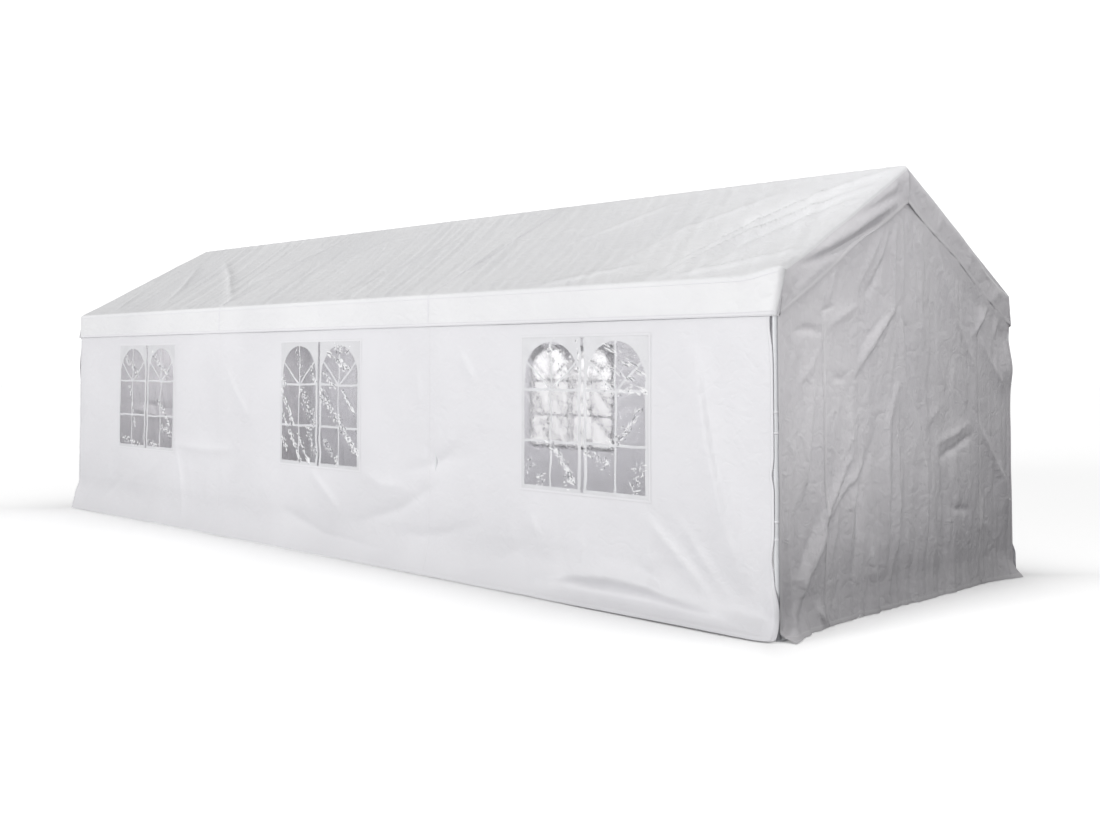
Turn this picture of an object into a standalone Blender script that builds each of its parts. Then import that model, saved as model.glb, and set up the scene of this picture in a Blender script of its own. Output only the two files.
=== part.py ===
"""Marquee tent: a steel tube frame of four arches under a fabric roof cover with a valance,
closed by two long side walls with three clear windows each and two end walls with a zipped door.

Metres, +Z up, the ridge along X. The origin is on the ground under the middle of the tent.
"""

import math

import bmesh
import bpy
from mathutils import Matrix, Vector

# Driving dimensions of the whole tent.
TENT_LENGTH = 9.0
TENT_WIDTH = 3.0
BAYS = 3
EAVE_EDGE_Z = 2.07
RIDGE_TOP_Z = 2.87
VALANCE_DROP = 0.235
GABLE_VALANCE_DROP = 0.252

# Sheets of fabric and film. A sheet is thicker than the real cloth, so that it is a solid.
FABRIC_T = 0.005
FILM_T = 0.002
SEAT_GAP = 0.0003

# Frame tubes, and the connectors whose stubs slide into them.
TUBE_R = 0.019
TUBE_WALL = 0.001
TUBE_SIDES = 16
SHARP_ANGLE = math.radians(40)
STUB_R = 0.0173
STUB_DEPTH = 0.07
STUB_HEEL = 0.008
JOINT_SPACE = 0.045
FOOT_SIDE = 0.08
FOOT_T = 0.003

# Walls, their windows and the doors in the end walls.
WALL_TOP_Z = 2.05
WALL_TOP_SPACE = 0.02
CORNER_SLIT = 0.022
HEM_Z = 0.10
HEM_FLARE = 0.045
WINDOW_W = 1.14
WINDOW_LOW_Z = 0.71
WINDOW_HIGH_Z = 1.74
DOOR_W = 2.0
DOOR_Z = 1.80

# Places worked out from the driving dimensions.
LEG_Y = TENT_WIDTH / 2 - TUBE_R
END_X = TENT_LENGTH / 2 - TUBE_R
BAY = 2 * END_X / BAYS
FRAME_XS = [-END_X + i * BAY for i in range(BAYS + 1)]
SIDE_WALL_Y = TENT_WIDTH / 2 + SEAT_GAP
END_WALL_X = TENT_LENGTH / 2 + SEAT_GAP
VALANCE_Y = SIDE_WALL_Y + 2 * FABRIC_T + SEAT_GAP
VALANCE_X = END_WALL_X + 2 * FABRIC_T + SEAT_GAP
SLOPE = (RIDGE_TOP_Z - EAVE_EDGE_Z) / VALANCE_Y
PITCH = math.atan(SLOPE)
AXIS_DROP = (FABRIC_T + SEAT_GAP + TUBE_R) / math.cos(PITCH)
SIDES = {"front": -1, "back": 1}
ENDS = {"left": -1, "right": 1}

# Colours, with roughness and metallic value.
PAINTED_STEEL = ("white_painted_steel", (0.80, 0.81, 0.83), 0.35, 0.0)
ZINC_STEEL = ("zinc_coated_steel", (0.62, 0.64, 0.66), 0.40, 0.8)
ROOF_CLOTH = ("roof_cloth", (0.83, 0.83, 0.84), 0.55, 0.0)
WALL_CLOTH = ("wall_cloth", (0.88, 0.88, 0.90), 0.55, 0.0)
CLEAR_FILM = ("clear_film", (0.80, 0.82, 0.84), 0.10, 0.0)


def roof_z(y):
    """Height of the roof cover's outer face at the distance y from the ridge line."""
    return RIDGE_TOP_Z - SLOPE * abs(y)


EAVE_AXIS_Z = roof_z(LEG_Y) - AXIS_DROP
RIDGE_AXIS_Z = RIDGE_TOP_Z - AXIS_DROP


def clear_scene():
    for obj in list(bpy.data.objects):
        bpy.data.objects.remove(obj, do_unlink=True)


def material(finish):
    name, colour, roughness, metallic = finish
    found = bpy.data.materials.get(name)
    if found:
        return found
    made = bpy.data.materials.new(name)
    made.use_nodes = True
    shader = made.node_tree.nodes["Principled BSDF"]
    shader.inputs["Base Color"].default_value = (*colour, 1.0)
    shader.inputs["Roughness"].default_value = roughness
    shader.inputs["Metallic"].default_value = metallic
    return made


def add_object(name, mesh, finish=None):
    obj = bpy.data.objects.new(name, mesh)
    bpy.context.scene.collection.objects.link(obj)
    if finish:
        mesh.materials.append(material(finish))
    return obj


def mesh_from(bm, name):
    bmesh.ops.recalc_face_normals(bm, faces=bm.faces)
    mesh = bpy.data.meshes.new(name)
    bm.to_mesh(mesh)
    bm.free()
    return mesh


def facing(direction):
    """Rotation that turns +Z to the direction."""
    return Vector(direction).to_track_quat("Z", "Y").to_matrix().to_4x4()


def smooth_round_faces(mesh):
    mesh.shade_smooth()
    mesh.set_sharp_from_angle(angle=SHARP_ANGLE)


# Tubes, legs and connectors.


def pipe_mesh(name, length):
    """Open pipe along +Z from its origin, with the real wall thickness."""
    bm = bmesh.new()
    rings = []
    for radius, z in ((TUBE_R, 0), (TUBE_R, length), (TUBE_R - TUBE_WALL, length), (TUBE_R - TUBE_WALL, 0)):
        ring = []
        for i in range(TUBE_SIDES):
            angle = 2 * math.pi * (i + 0.5) / TUBE_SIDES
            ring.append(bm.verts.new((radius * math.cos(angle), radius * math.sin(angle), z)))
        rings.append(ring)
    for ring, following in zip(rings, rings[1:] + rings[:1]):
        for i in range(TUBE_SIDES):
            j = (i + 1) % TUBE_SIDES
            bm.faces.new((ring[i], ring[j], following[j], following[i]))
    mesh = mesh_from(bm, name)
    smooth_round_faces(mesh)
    return mesh


def add_tube(name, start, end):
    """Tube between two joints of the frame, which stops short of both for their connectors."""
    start, end = Vector(start), Vector(end)
    along = (end - start).normalized()
    tube = add_object(name, pipe_mesh(name, (end - start).length - 2 * JOINT_SPACE), PAINTED_STEEL)
    tube.matrix_world = Matrix.Translation(start + along * JOINT_SPACE) @ facing(along)
    return tube


def joined(name, objects, finish):
    """One closed body from overlapping solids."""
    body = objects[0]
    for other in objects[1:]:
        union = body.modifiers.new("join", "BOOLEAN")
        union.operation = "UNION"
        union.solver = "EXACT"
        union.object = other
    bpy.context.view_layer.update()
    graph = bpy.context.evaluated_depsgraph_get()
    mesh = bpy.data.meshes.new_from_object(body.evaluated_get(graph))
    mesh.name = name
    mesh.materials.clear()
    for obj in objects:
        bpy.data.objects.remove(obj, do_unlink=True)
    smooth_round_faces(mesh)
    return add_object(name, mesh, finish)


def round_bar(direction, start, length, radius):
    """Solid bar along the direction, from the distance start to the distance start + length."""
    bm = bmesh.new()
    bmesh.ops.create_cone(
        bm, cap_ends=True, segments=TUBE_SIDES, radius1=radius, radius2=radius, depth=length
    )
    bmesh.ops.translate(bm, vec=(0, 0, start + length / 2), verts=bm.verts)
    bmesh.ops.transform(bm, matrix=facing(direction), verts=bm.verts)
    return add_object("bar", mesh_from(bm, "bar"))


def add_connector(name, place, directions):
    """Welded connector: a stub for each tube that meets at the place."""
    length = JOINT_SPACE + STUB_DEPTH + STUB_HEEL
    stubs = [round_bar(direction, -STUB_HEEL, length, STUB_R) for direction in directions]
    connector = joined(name, stubs, ZINC_STEEL)
    connector.location = place
    return connector


def add_leg(name, x, y):
    """Leg tube, open at its top, on a welded square foot plate."""
    tube = add_object("tube", pipe_mesh("tube", EAVE_AXIS_Z - JOINT_SPACE - FOOT_T / 2))
    tube.location.z = FOOT_T / 2
    bm = bmesh.new()
    size = Matrix.Diagonal((FOOT_SIDE, FOOT_SIDE, FOOT_T, 1))
    bmesh.ops.create_cube(bm, size=1.0, matrix=Matrix.Translation((0, 0, FOOT_T / 2)) @ size)
    plate = add_object("plate", mesh_from(bm, "plate"))
    bpy.context.view_layer.update()
    leg = joined(name, [plate, tube], PAINTED_STEEL)
    leg.location = (x, y, 0)
    return leg


def along_the_ridge(index):
    """Directions along X from an arch to the arches beside it."""
    towards = []
    if index > 0:
        towards.append((-1, 0, 0))
    if index < BAYS:
        towards.append((1, 0, 0))
    return towards


def build_frame():
    for index, x in enumerate(FRAME_XS):
        number = index + 1
        ridge = Vector((x, 0, RIDGE_AXIS_Z))
        to_eaves = []
        for side, sign in SIDES.items():
            eave = Vector((x, sign * LEG_Y, EAVE_AXIS_Z))
            up_slope = (ridge - eave).normalized()
            to_eaves.append(-up_slope)
            add_leg(f"leg_{side}_{number}", x, sign * LEG_Y)
            add_tube(f"rafter_{side}_{number}", eave, ridge)
            meeting = [(0, 0, -1), up_slope, *along_the_ridge(index)]
            add_connector(f"eave_connector_{side}_{number}", eave, meeting)
        add_connector(f"ridge_connector_{number}", ridge, [*to_eaves, *along_the_ridge(index)])
    for bay, (x, next_x) in enumerate(zip(FRAME_XS, FRAME_XS[1:]), start=1):
        add_tube(f"ridge_tube_{bay}", (x, 0, RIDGE_AXIS_Z), (next_x, 0, RIDGE_AXIS_Z))
        for side, sign in SIDES.items():
            y = sign * LEG_Y
            add_tube(f"eave_tube_{side}_{bay}", (x, y, EAVE_AXIS_Z), (next_x, y, EAVE_AXIS_Z))


# Sheets: each is one layer of faces, thickened to one side.


def add_sheet(name, faces, outward, thickness, finish):
    """Closed sheet from flat faces, given as lists of points. It thickens in the direction outward."""
    bm = bmesh.new()
    corners = {}
    for face in faces:
        around = []
        for point in face:
            key = tuple(round(c, 6) for c in point)
            if key not in corners:
                corners[key] = bm.verts.new(point)
            around.append(corners[key])
        bm.faces.new(around)
    bm.faces.ensure_lookup_table()
    bmesh.ops.recalc_face_normals(bm, faces=bm.faces)
    bm.normal_update()
    if bm.faces[0].normal.dot(Vector(outward)) < 0:
        bmesh.ops.reverse_faces(bm, faces=bm.faces)
    mesh = bpy.data.meshes.new(name)
    bm.to_mesh(mesh)
    bm.free()
    sheet = add_object(name, mesh, finish)
    solid = sheet.modifiers.new("thickness", "SOLIDIFY")
    solid.thickness = thickness
    solid.offset = 1.0
    solid.use_even_offset = True
    solid.use_quality_normals = True
    return sheet


def grid_faces(columns, rows, place, left_out=()):
    """Faces between the columns and rows, placed by place(column, row), without the cells left out."""
    faces = []
    for i, (a, b) in enumerate(zip(columns, columns[1:])):
        for j, (low, high) in enumerate(zip(rows, rows[1:])):
            if (i, j) not in left_out:
                faces.append([place(a, low), place(b, low), place(b, high), place(a, high)])
    return faces


def flare(z):
    """How far the hem stands out from the wall at the height z."""
    return HEM_FLARE * max(0.0, 1 - z / HEM_Z)


def window_edges():
    edges = []
    for x, next_x in zip(FRAME_XS, FRAME_XS[1:]):
        middle = (x + next_x) / 2
        edges.append((middle - WINDOW_W / 2, middle + WINDOW_W / 2))
    return edges


def add_side_wall(side, sign):
    """Long wall of one side, with three windows cut through it, and the clear film in each."""
    edge_x = TENT_LENGTH / 2 - CORNER_SLIT
    columns = [-edge_x, *(x for edges in window_edges() for x in edges), edge_x]
    rows = [0.0, HEM_Z, WINDOW_LOW_Z, WINDOW_HIGH_Z, WALL_TOP_Z]
    windows = [(1 + 2 * bay, 2) for bay in range(BAYS)]

    def on_wall(x, z):
        return (x, sign * (SIDE_WALL_Y + flare(z)), z)

    faces = grid_faces(columns, rows, on_wall, windows)
    add_sheet(f"side_wall_{side}", faces, (0, sign, 0), FABRIC_T, WALL_CLOTH)
    film_y = sign * (SIDE_WALL_Y + (FABRIC_T - FILM_T) / 2)
    for bay, (low_x, high_x) in enumerate(window_edges(), start=1):
        low = (low_x + SEAT_GAP, WINDOW_LOW_Z + SEAT_GAP)
        high = (high_x - SEAT_GAP, WINDOW_HIGH_Z - SEAT_GAP)
        film = grid_faces((low[0], high[0]), (low[1], high[1]), lambda x, z: (x, film_y, z))
        add_sheet(f"window_{side}_{bay}", film, (0, sign, 0), FILM_T, CLEAR_FILM)


def add_end_wall(end, sign):
    """End wall under the roof's slopes, with its doorway, and the zipped door that closes it."""
    edge_y = TENT_WIDTH / 2 - CORNER_SLIT
    door_y = DOOR_W / 2

    def on_wall(y, z):
        return (sign * (END_WALL_X + flare(z)), y, z)

    def under_roof(y):
        return on_wall(y, roof_z(y) - WALL_TOP_SPACE)

    faces = []
    for low_y, high_y in ((-edge_y, -door_y), (door_y, edge_y)):
        faces += grid_faces((low_y, high_y), (0.0, HEM_Z, DOOR_Z), on_wall)
    columns = (-edge_y, -door_y, 0.0, door_y, edge_y)
    for low_y, high_y in zip(columns, columns[1:]):
        above = [on_wall(low_y, DOOR_Z), on_wall(high_y, DOOR_Z), under_roof(high_y), under_roof(low_y)]
        faces.append(above)
    add_sheet(f"end_wall_{end}", faces, (sign, 0, 0), FABRIC_T, WALL_CLOTH)
    door_edge = door_y - SEAT_GAP
    door = grid_faces((-door_edge, door_edge), (0.0, HEM_Z, DOOR_Z - SEAT_GAP), on_wall)
    add_sheet(f"door_{end}", door, (sign, 0, 0), FABRIC_T, WALL_CLOTH)


def add_roof_cover():
    """Both slopes with the valance that hangs from all four edges, as one cover."""
    inside_x, inside_y = VALANCE_X - FABRIC_T, VALANCE_Y - FABRIC_T
    drop = FABRIC_T / math.cos(PITCH)

    def on_slope(x, y):
        return (x, y, roof_z(y) - drop)

    faces = []
    for sign in SIDES.values():
        y = sign * inside_y
        hem_z = EAVE_EDGE_Z - VALANCE_DROP
        ridge = [on_slope(-inside_x, 0), on_slope(inside_x, 0)]
        eave = [on_slope(inside_x, y), on_slope(-inside_x, y)]
        faces.append([*ridge, *eave])
        faces.append([*eave, (-inside_x, y, hem_z), (inside_x, y, hem_z)])
        for end in ENDS.values():
            x = end * inside_x
            apex_hem = (x, 0, RIDGE_TOP_Z - GABLE_VALANCE_DROP)
            faces.append([on_slope(x, 0), on_slope(x, y), (x, y, hem_z), apex_hem])
    add_sheet("roof_cover", faces, (0, 0, 1), FABRIC_T, ROOF_CLOTH)


def main():
    clear_scene()
    build_frame()
    for side, sign in SIDES.items():
        add_side_wall(side, sign)
    for end, sign in ENDS.items():
        add_end_wall(end, sign)
    add_roof_cover()


main()
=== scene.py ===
"""The looks of the marquee tent: creased cloth, crinkled window film with its printed glazing bars,
zips, straps, hems and finishes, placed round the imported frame.

Metres, +Z up. The front side wall faces -Y and the near end wall of the photograph faces +X.
"""

import functools
import math

import bmesh
import bpy
import numpy as np
from mathutils import Matrix, Vector


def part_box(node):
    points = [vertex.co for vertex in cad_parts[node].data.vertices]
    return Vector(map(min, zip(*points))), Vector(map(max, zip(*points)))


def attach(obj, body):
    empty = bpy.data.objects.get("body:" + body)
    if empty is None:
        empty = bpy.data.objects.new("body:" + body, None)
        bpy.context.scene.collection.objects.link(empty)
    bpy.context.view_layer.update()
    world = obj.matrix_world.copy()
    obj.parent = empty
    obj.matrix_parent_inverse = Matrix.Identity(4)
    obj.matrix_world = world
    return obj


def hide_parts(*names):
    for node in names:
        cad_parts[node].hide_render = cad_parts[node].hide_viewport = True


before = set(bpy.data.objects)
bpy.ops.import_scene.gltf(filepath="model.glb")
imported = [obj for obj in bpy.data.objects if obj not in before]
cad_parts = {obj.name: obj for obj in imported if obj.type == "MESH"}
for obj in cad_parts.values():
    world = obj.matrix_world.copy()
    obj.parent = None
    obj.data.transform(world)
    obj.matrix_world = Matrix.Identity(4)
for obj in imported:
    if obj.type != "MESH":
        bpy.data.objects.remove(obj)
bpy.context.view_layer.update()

# Places read from the frame.
ROOF_LOW, ROOF_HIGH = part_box("roof_cover")
WALL_LOW, WALL_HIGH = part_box("side_wall_front")
END_LOW, END_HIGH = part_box("end_wall_right")
DOOR_LOW, DOOR_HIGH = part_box("door_right")
LEG_LOW, LEG_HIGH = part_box("leg_front_4")
COVER_X, COVER_Y = ROOF_HIGH.x, ROOF_HIGH.y
RIDGE_Z, HEM_Z = ROOF_HIGH.z, ROOF_LOW.z
WALL_X = WALL_HIGH.x
WALL_TOP = WALL_HIGH.z
END_Y = END_HIGH.y
DOOR_Y, DOOR_TOP = DOOR_HIGH.y, DOOR_HIGH.z
POST_X = (LEG_LOW.x + LEG_HIGH.x) / 2
POST_Y = (LEG_LOW.y + LEG_HIGH.y) / 2
BAYS = 3
BAY = 2 * POST_X / BAYS
ARCH_XS = [-POST_X + BAY * i for i in range(BAYS + 1)]
WINDOWS = [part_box(f"window_front_{i + 1}") for i in range(BAYS)]
WINDOW_SPANS = [(low.x, high.x) for low, high in WINDOWS]
WINDOW_LOW, WINDOW_HIGH = WINDOWS[0][0].z, WINDOWS[0][1].z

# Sizes of the cloth work, which the frame doesn't say.
EAVE_Z = 2.07
CLOTH_Y = 1.5045
CLOTH_X = 4.5045
GABLE_VALANCE = 0.252
END_EDGE_Y = END_Y + 0.015
BEND_RADIUS = 0.024
END_RADIUS = 0.042
SLOPE = (RIDGE_Z - EAVE_Z) / COVER_Y
CLOTH_STEP = 0.021
GABLE_STEP = 0.0165
FILM_STEP = 0.0105
SIDES = {"front": -1, "back": 1}
ENDS = {"left": -1, "right": 1}

# Noise and folds, as heights over a flat sheet in metres.


@functools.lru_cache(maxsize=None)
def lattice_of(seed):
    return np.random.RandomState(seed).uniform(-1, 1, (101, 97))


def soft_noise(u, v, cell_u, cell_v, seed):
    """Smooth noise from -1 to 1 over cells of that size."""
    a, b = u / cell_u + 40.3, v / cell_v + 40.7
    i, j = np.floor(a).astype(int), np.floor(b).astype(int)
    fa, fb = a - i, b - j
    fa, fb = fa * fa * (3 - 2 * fa), fb * fb * (3 - 2 * fb)
    lattice = lattice_of(seed)

    def at(p, q):
        return lattice[p % 101, q % 97]

    low = at(i, j) * (1 - fa) + at(i + 1, j) * fa
    high = at(i, j + 1) * (1 - fa) + at(i + 1, j + 1) * fa
    return low * (1 - fb) + high * fb


def crumple(u, v, size, seed, stretch=1.0, layers=8, tilt=(0, math.pi)):
    """Creased sheet from about -1 to 1: flat facets between sharp folds, stretch times as long along v.

    tilt is the range of the angles between the folds' cross direction and u.
    """
    rng = np.random.RandomState(seed)
    total = 0
    for layer in range(layers):
        angle = rng.uniform(*tilt)
        wave = size * rng.uniform(0.7, 1.9)
        bend = 0.4 * soft_noise(u, v, 3 * size, 3 * size * stretch, seed * 31 + layer)
        phase = (u * math.cos(angle) + v / stretch * math.sin(angle)) / wave + bend + rng.uniform()
        facets = 4 * np.abs(phase - np.floor(phase) - 0.5) - 1
        share = soft_noise(u, v, 2.4 * size, 2.4 * size * stretch, seed * 57 + layer)
        total = total + facets * np.clip(share, 0, 1)
    return total / (0.3 * layers)


def ease(value, start, end):
    """0 before start, 1 after end, and a smooth rise between them. It falls where end is below start."""
    t = np.clip((value - start) / (end - start), 0, 1)
    return t * t * (3 - 2 * t)


def fold(u, v, points, height, width, lean=0.0):
    """One crease along a line of points, highest at its middle.

    lean above 0 makes the flank on the right of a falling line steeper and the other wider.
    """
    parts = np.hypot(*np.diff(np.array(points), axis=0).T)
    total, before = parts.sum(), 0.0
    best = np.full(np.shape(u), 1e9)
    crest = np.zeros(np.shape(u))
    for (u0, v0), (u1, v1), length in zip(points, points[1:], parts):
        du, dv = (u1 - u0) / length, (v1 - v0) / length
        along = np.clip((u - u0) * du + (v - v0) * dv, 0, length)
        off_u, off_v = u - u0 - along * du, v - v0 - along * dv
        away = np.hypot(off_u, off_v)
        side = np.sign(off_u * dv - off_v * du)
        near = away < best
        best = np.where(near, away, best)
        place = (before + along) / total
        shape = np.sin(math.pi * np.clip(0.04 + 0.92 * place, 0, 1)) ** 0.6
        flank = width * (1 + lean * side)
        fall = np.exp(0.3 - np.sqrt((away / flank) ** 2 + 0.09))
        crest = np.where(near, height * shape * fall, crest)
        before += length
    return crest


def all_folds(u, v, folds):
    return sum(fold(u, v, *one) for one in folds)


# Meshes.


def stations(breaks, step):
    """Places from the first break to the last, no further apart than step, with each break among them."""
    places = [np.linspace(a, b, max(1, math.ceil((b - a) / step)) + 1)[:-1] for a, b in zip(breaks, breaks[1:])]
    return np.concatenate([*places, breaks[-1:]])


def new_object(name, mesh, material):
    made = bpy.data.objects.new(name, mesh)
    bpy.context.scene.collection.objects.link(made)
    if material:
        mesh.materials.append(material)
    mesh.shade_smooth()
    return made


def grid_quads(rows, columns, first=0):
    """Corner numbers of the quads between rows x columns points that are numbered row by row."""
    i, j = np.meshgrid(np.arange(rows - 1), np.arange(columns - 1), indexing="ij")
    corner = (i * columns + j).ravel() + first
    return np.stack([corner, corner + 1, corner + columns + 1, corner + columns], axis=1)


def mesh_of(name, points, quads, flats):
    """Mesh from points, quads and the flat place of each point in metres, which becomes its UV."""
    used = np.unique(quads)
    number = np.full(len(points), -1)
    number[used] = np.arange(len(used))
    quads, points, flats = number[quads], points[used], flats[used]
    mesh = bpy.data.meshes.new(name)
    mesh.from_pydata(points.tolist(), [], quads.tolist())
    layer = mesh.uv_layers.new(name="cloth")
    corners = np.empty(len(mesh.loops), dtype=np.int32)
    mesh.loops.foreach_get("vertex_index", corners)
    layer.uv.foreach_set("vector", flats[corners].astype(np.float32).ravel())
    mesh.validate()
    return mesh


def sheet_object(name, us, vs, place, material, left_out=None, flip=False):
    """Sheet over the places us x vs. left_out(u, v) says which cells are cut away."""
    u, v = np.meshgrid(us, vs, indexing="ij")
    points = place(u, v).reshape(-1, 3)
    quads = grid_quads(len(us), len(vs))
    flats = np.stack([u.ravel(), v.ravel()], axis=1)
    if left_out is not None:
        middle = flats[quads].mean(axis=1)
        quads = quads[~left_out(middle[:, 0], middle[:, 1])]
    if flip:
        quads = quads[:, ::-1]
    return new_object(name, mesh_of(name, points, quads, flats), material)


def ribbon_parts(place, line, width, lift, crown=0.0, step=0.02, across=2):
    """Points, quads and flat places of a band along a line on the surface that place(u, v, lift) gives."""
    line = np.array(line, dtype=float)
    parts = np.hypot(*np.diff(line, axis=0).T)
    at = np.concatenate([[0], np.cumsum(parts)])
    s = stations(list(at), step) if len(at) < 12 else at
    u, v = np.interp(s, at, line[:, 0]), np.interp(s, at, line[:, 1])
    du, dv = np.gradient(u), np.gradient(v)
    size = np.hypot(du, dv)
    du, dv = du / size, dv / size
    t = np.linspace(-1, 1, across + 1)
    uu = u[:, None] - dv[:, None] * t * width / 2
    vv = v[:, None] + du[:, None] * t * width / 2
    points = place(uu, vv, lift + crown * (1 - t * t)[None, :])
    flats = np.stack(np.broadcast_arrays(s[:, None], t[None, :] * width / 2), axis=-1)
    return points.reshape(-1, 3), grid_quads(len(s), across + 1), flats.reshape(-1, 2)


def ribbons(name, parts, material):
    """One object from several bands."""
    points, quads, flats, first = [], [], [], 0
    for some_points, some_quads, some_flats in parts:
        points.append(some_points)
        quads.append(some_quads + first)
        flats.append(some_flats)
        first += len(some_points)
    mesh = mesh_of(name, np.concatenate(points), np.concatenate(quads), np.concatenate(flats))
    return new_object(name, mesh, material)


# Shader groups that several finishes share.


def new_group(name, inputs, outputs):
    group = bpy.data.node_groups.new(name, "ShaderNodeTree")
    for title, kind, value in inputs:
        socket = group.interface.new_socket(title, in_out="INPUT", socket_type=kind)
        socket.default_value = value
    for title, kind in outputs:
        group.interface.new_socket(title, in_out="OUTPUT", socket_type=kind)
    return group, group.nodes.new("NodeGroupInput"), group.nodes.new("NodeGroupOutput")


def math_node(tree, operation, first, second=None, third=None):
    node = tree.nodes.new("ShaderNodeMath")
    node.operation = operation
    for socket, value in zip(node.inputs, (first, second, third)):
        if value is None:
            continue
        if isinstance(value, (int, float)):
            socket.default_value = value
        else:
            tree.links.new(value, socket)
    return node.outputs[0]


def weave_group():
    """Flat tapes woven over and under each other, from the cloth's flat place in metres."""
    inputs = [("Pitch", "NodeSocketFloat", 0.003), ("Depth", "NodeSocketFloat", 1.0)]
    group, given, result = new_group("woven tapes", inputs, [("Height", "NodeSocketFloat")])
    flat = group.nodes.new("ShaderNodeUVMap")
    flat.uv_map = "cloth"
    parts = group.nodes.new("ShaderNodeSeparateXYZ")
    group.links.new(flat.outputs[0], parts.inputs[0])
    waves = []
    for axis in (0, 1):
        turn = math_node(group, "DIVIDE", parts.outputs[axis], given.outputs["Pitch"])
        wave = math_node(group, "SINE", math_node(group, "MULTIPLY", turn, math.pi))
        waves.append(wave)
    over = math_node(group, "MULTIPLY", waves[0], waves[1])
    group.links.new(math_node(group, "MULTIPLY", over, given.outputs["Depth"]), result.inputs[0])
    return group


def creasing_group():
    """Small sharp creases of a sheet that was folded and packed, as a height from 0 to 1, and their mask."""
    inputs = [("Size", "NodeSocketFloat", 9.0), ("Fineness", "NodeSocketFloat", 4.0)]
    outputs = [("Height", "NodeSocketFloat"), ("Crests", "NodeSocketFloat")]
    group, given, result = new_group("small creases", inputs, outputs)
    place = group.nodes.new("ShaderNodeTexCoord")
    total = None
    for share, factor in ((0.6, 1.0), (0.3, 2.7)):
        noise = group.nodes.new("ShaderNodeTexNoise")
        noise.inputs["Detail"].default_value = 1.5
        noise.inputs["Distortion"].default_value = 0.8
        group.links.new(place.outputs["Object"], noise.inputs["Vector"])
        scale = math_node(group, "MULTIPLY", given.outputs["Size"], factor)
        group.links.new(scale, noise.inputs["Scale"])
        ridge = math_node(group, "ABSOLUTE", math_node(group, "SUBTRACT", noise.outputs[0], 0.5))
        part = math_node(group, "MULTIPLY", ridge, share * 2)
        total = part if total is None else math_node(group, "ADD", total, part)
    fine = group.nodes.new("ShaderNodeTexNoise")
    fine.inputs["Detail"].default_value = 3.0
    group.links.new(place.outputs["Object"], fine.inputs["Vector"])
    fine_scale = math_node(group, "MULTIPLY", given.outputs["Size"], given.outputs["Fineness"])
    group.links.new(fine_scale, fine.inputs["Scale"])
    total = math_node(group, "MULTIPLY_ADD", fine.outputs[0], 0.12, total)
    group.links.new(total, result.inputs["Height"])
    crests = math_node(group, "SUBTRACT", 1.0, math_node(group, "MULTIPLY", total, 2.0))
    group.links.new(math_node(group, "MAXIMUM", crests, 0.0), result.inputs["Crests"])
    return group


def mottle_group():
    """Colour that drifts between two close shades in large soft patches, and a painted shade that darkens it towards
    the ground.
    """
    inputs = [
        ("Light", "NodeSocketColor", (0.9, 0.9, 0.9, 1)),
        ("Dark", "NodeSocketColor", (0.8, 0.8, 0.8, 1)),
        ("Scale", "NodeSocketFloat", 1.5),
        ("Groundshade", "NodeSocketFloat", 0.0),
        ("Groundshade height", "NodeSocketFloat", 0.5),
    ]
    group, given, result = new_group("soft mottling", inputs, [("Color", "NodeSocketColor")])
    place = group.nodes.new("ShaderNodeTexCoord")
    noise = group.nodes.new("ShaderNodeTexNoise")
    noise.inputs["Detail"].default_value = 4.0
    group.links.new(place.outputs["Object"], noise.inputs["Vector"])
    group.links.new(given.outputs["Scale"], noise.inputs["Scale"])
    ramp = group.nodes.new("ShaderNodeMapRange")
    ramp.inputs["From Min"].default_value = 0.3
    ramp.inputs["From Max"].default_value = 0.7
    group.links.new(noise.outputs[0], ramp.inputs["Value"])
    mix = group.nodes.new("ShaderNodeMix")
    mix.data_type = "RGBA"
    group.links.new(ramp.outputs[0], mix.inputs["Factor"])
    group.links.new(given.outputs["Light"], mix.inputs[6])
    group.links.new(given.outputs["Dark"], mix.inputs[7])
    parts = group.nodes.new("ShaderNodeSeparateXYZ")
    group.links.new(place.outputs["Object"], parts.inputs[0])
    # Painted shade: the colour is darkened towards the ground, over a height that wavers with the patches.
    uneven = math_node(group, "MULTIPLY_ADD", noise.outputs[0], 0.5, 0.75)
    reach = math_node(group, "MULTIPLY", given.outputs["Groundshade height"], uneven)
    above = math_node(group, "MINIMUM", math_node(group, "DIVIDE", parts.outputs[2], reach), 1.0)
    near_ground = math_node(group, "POWER", math_node(group, "SUBTRACT", 1.0, above), 1.5)
    painted_foot_shade = math_node(group, "MULTIPLY", near_ground, given.outputs["Groundshade"])
    painted_foot_shade_mix = group.nodes.new("ShaderNodeMix")
    painted_foot_shade_mix.data_type = "RGBA"
    painted_foot_shade_mix.inputs[7].default_value = (0.0, 0.0, 0.0, 1)
    group.links.new(painted_foot_shade, painted_foot_shade_mix.inputs["Factor"])
    group.links.new(mix.outputs[2], painted_foot_shade_mix.inputs[6])
    group.links.new(painted_foot_shade_mix.outputs[2], result.inputs[0])
    return group


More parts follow.
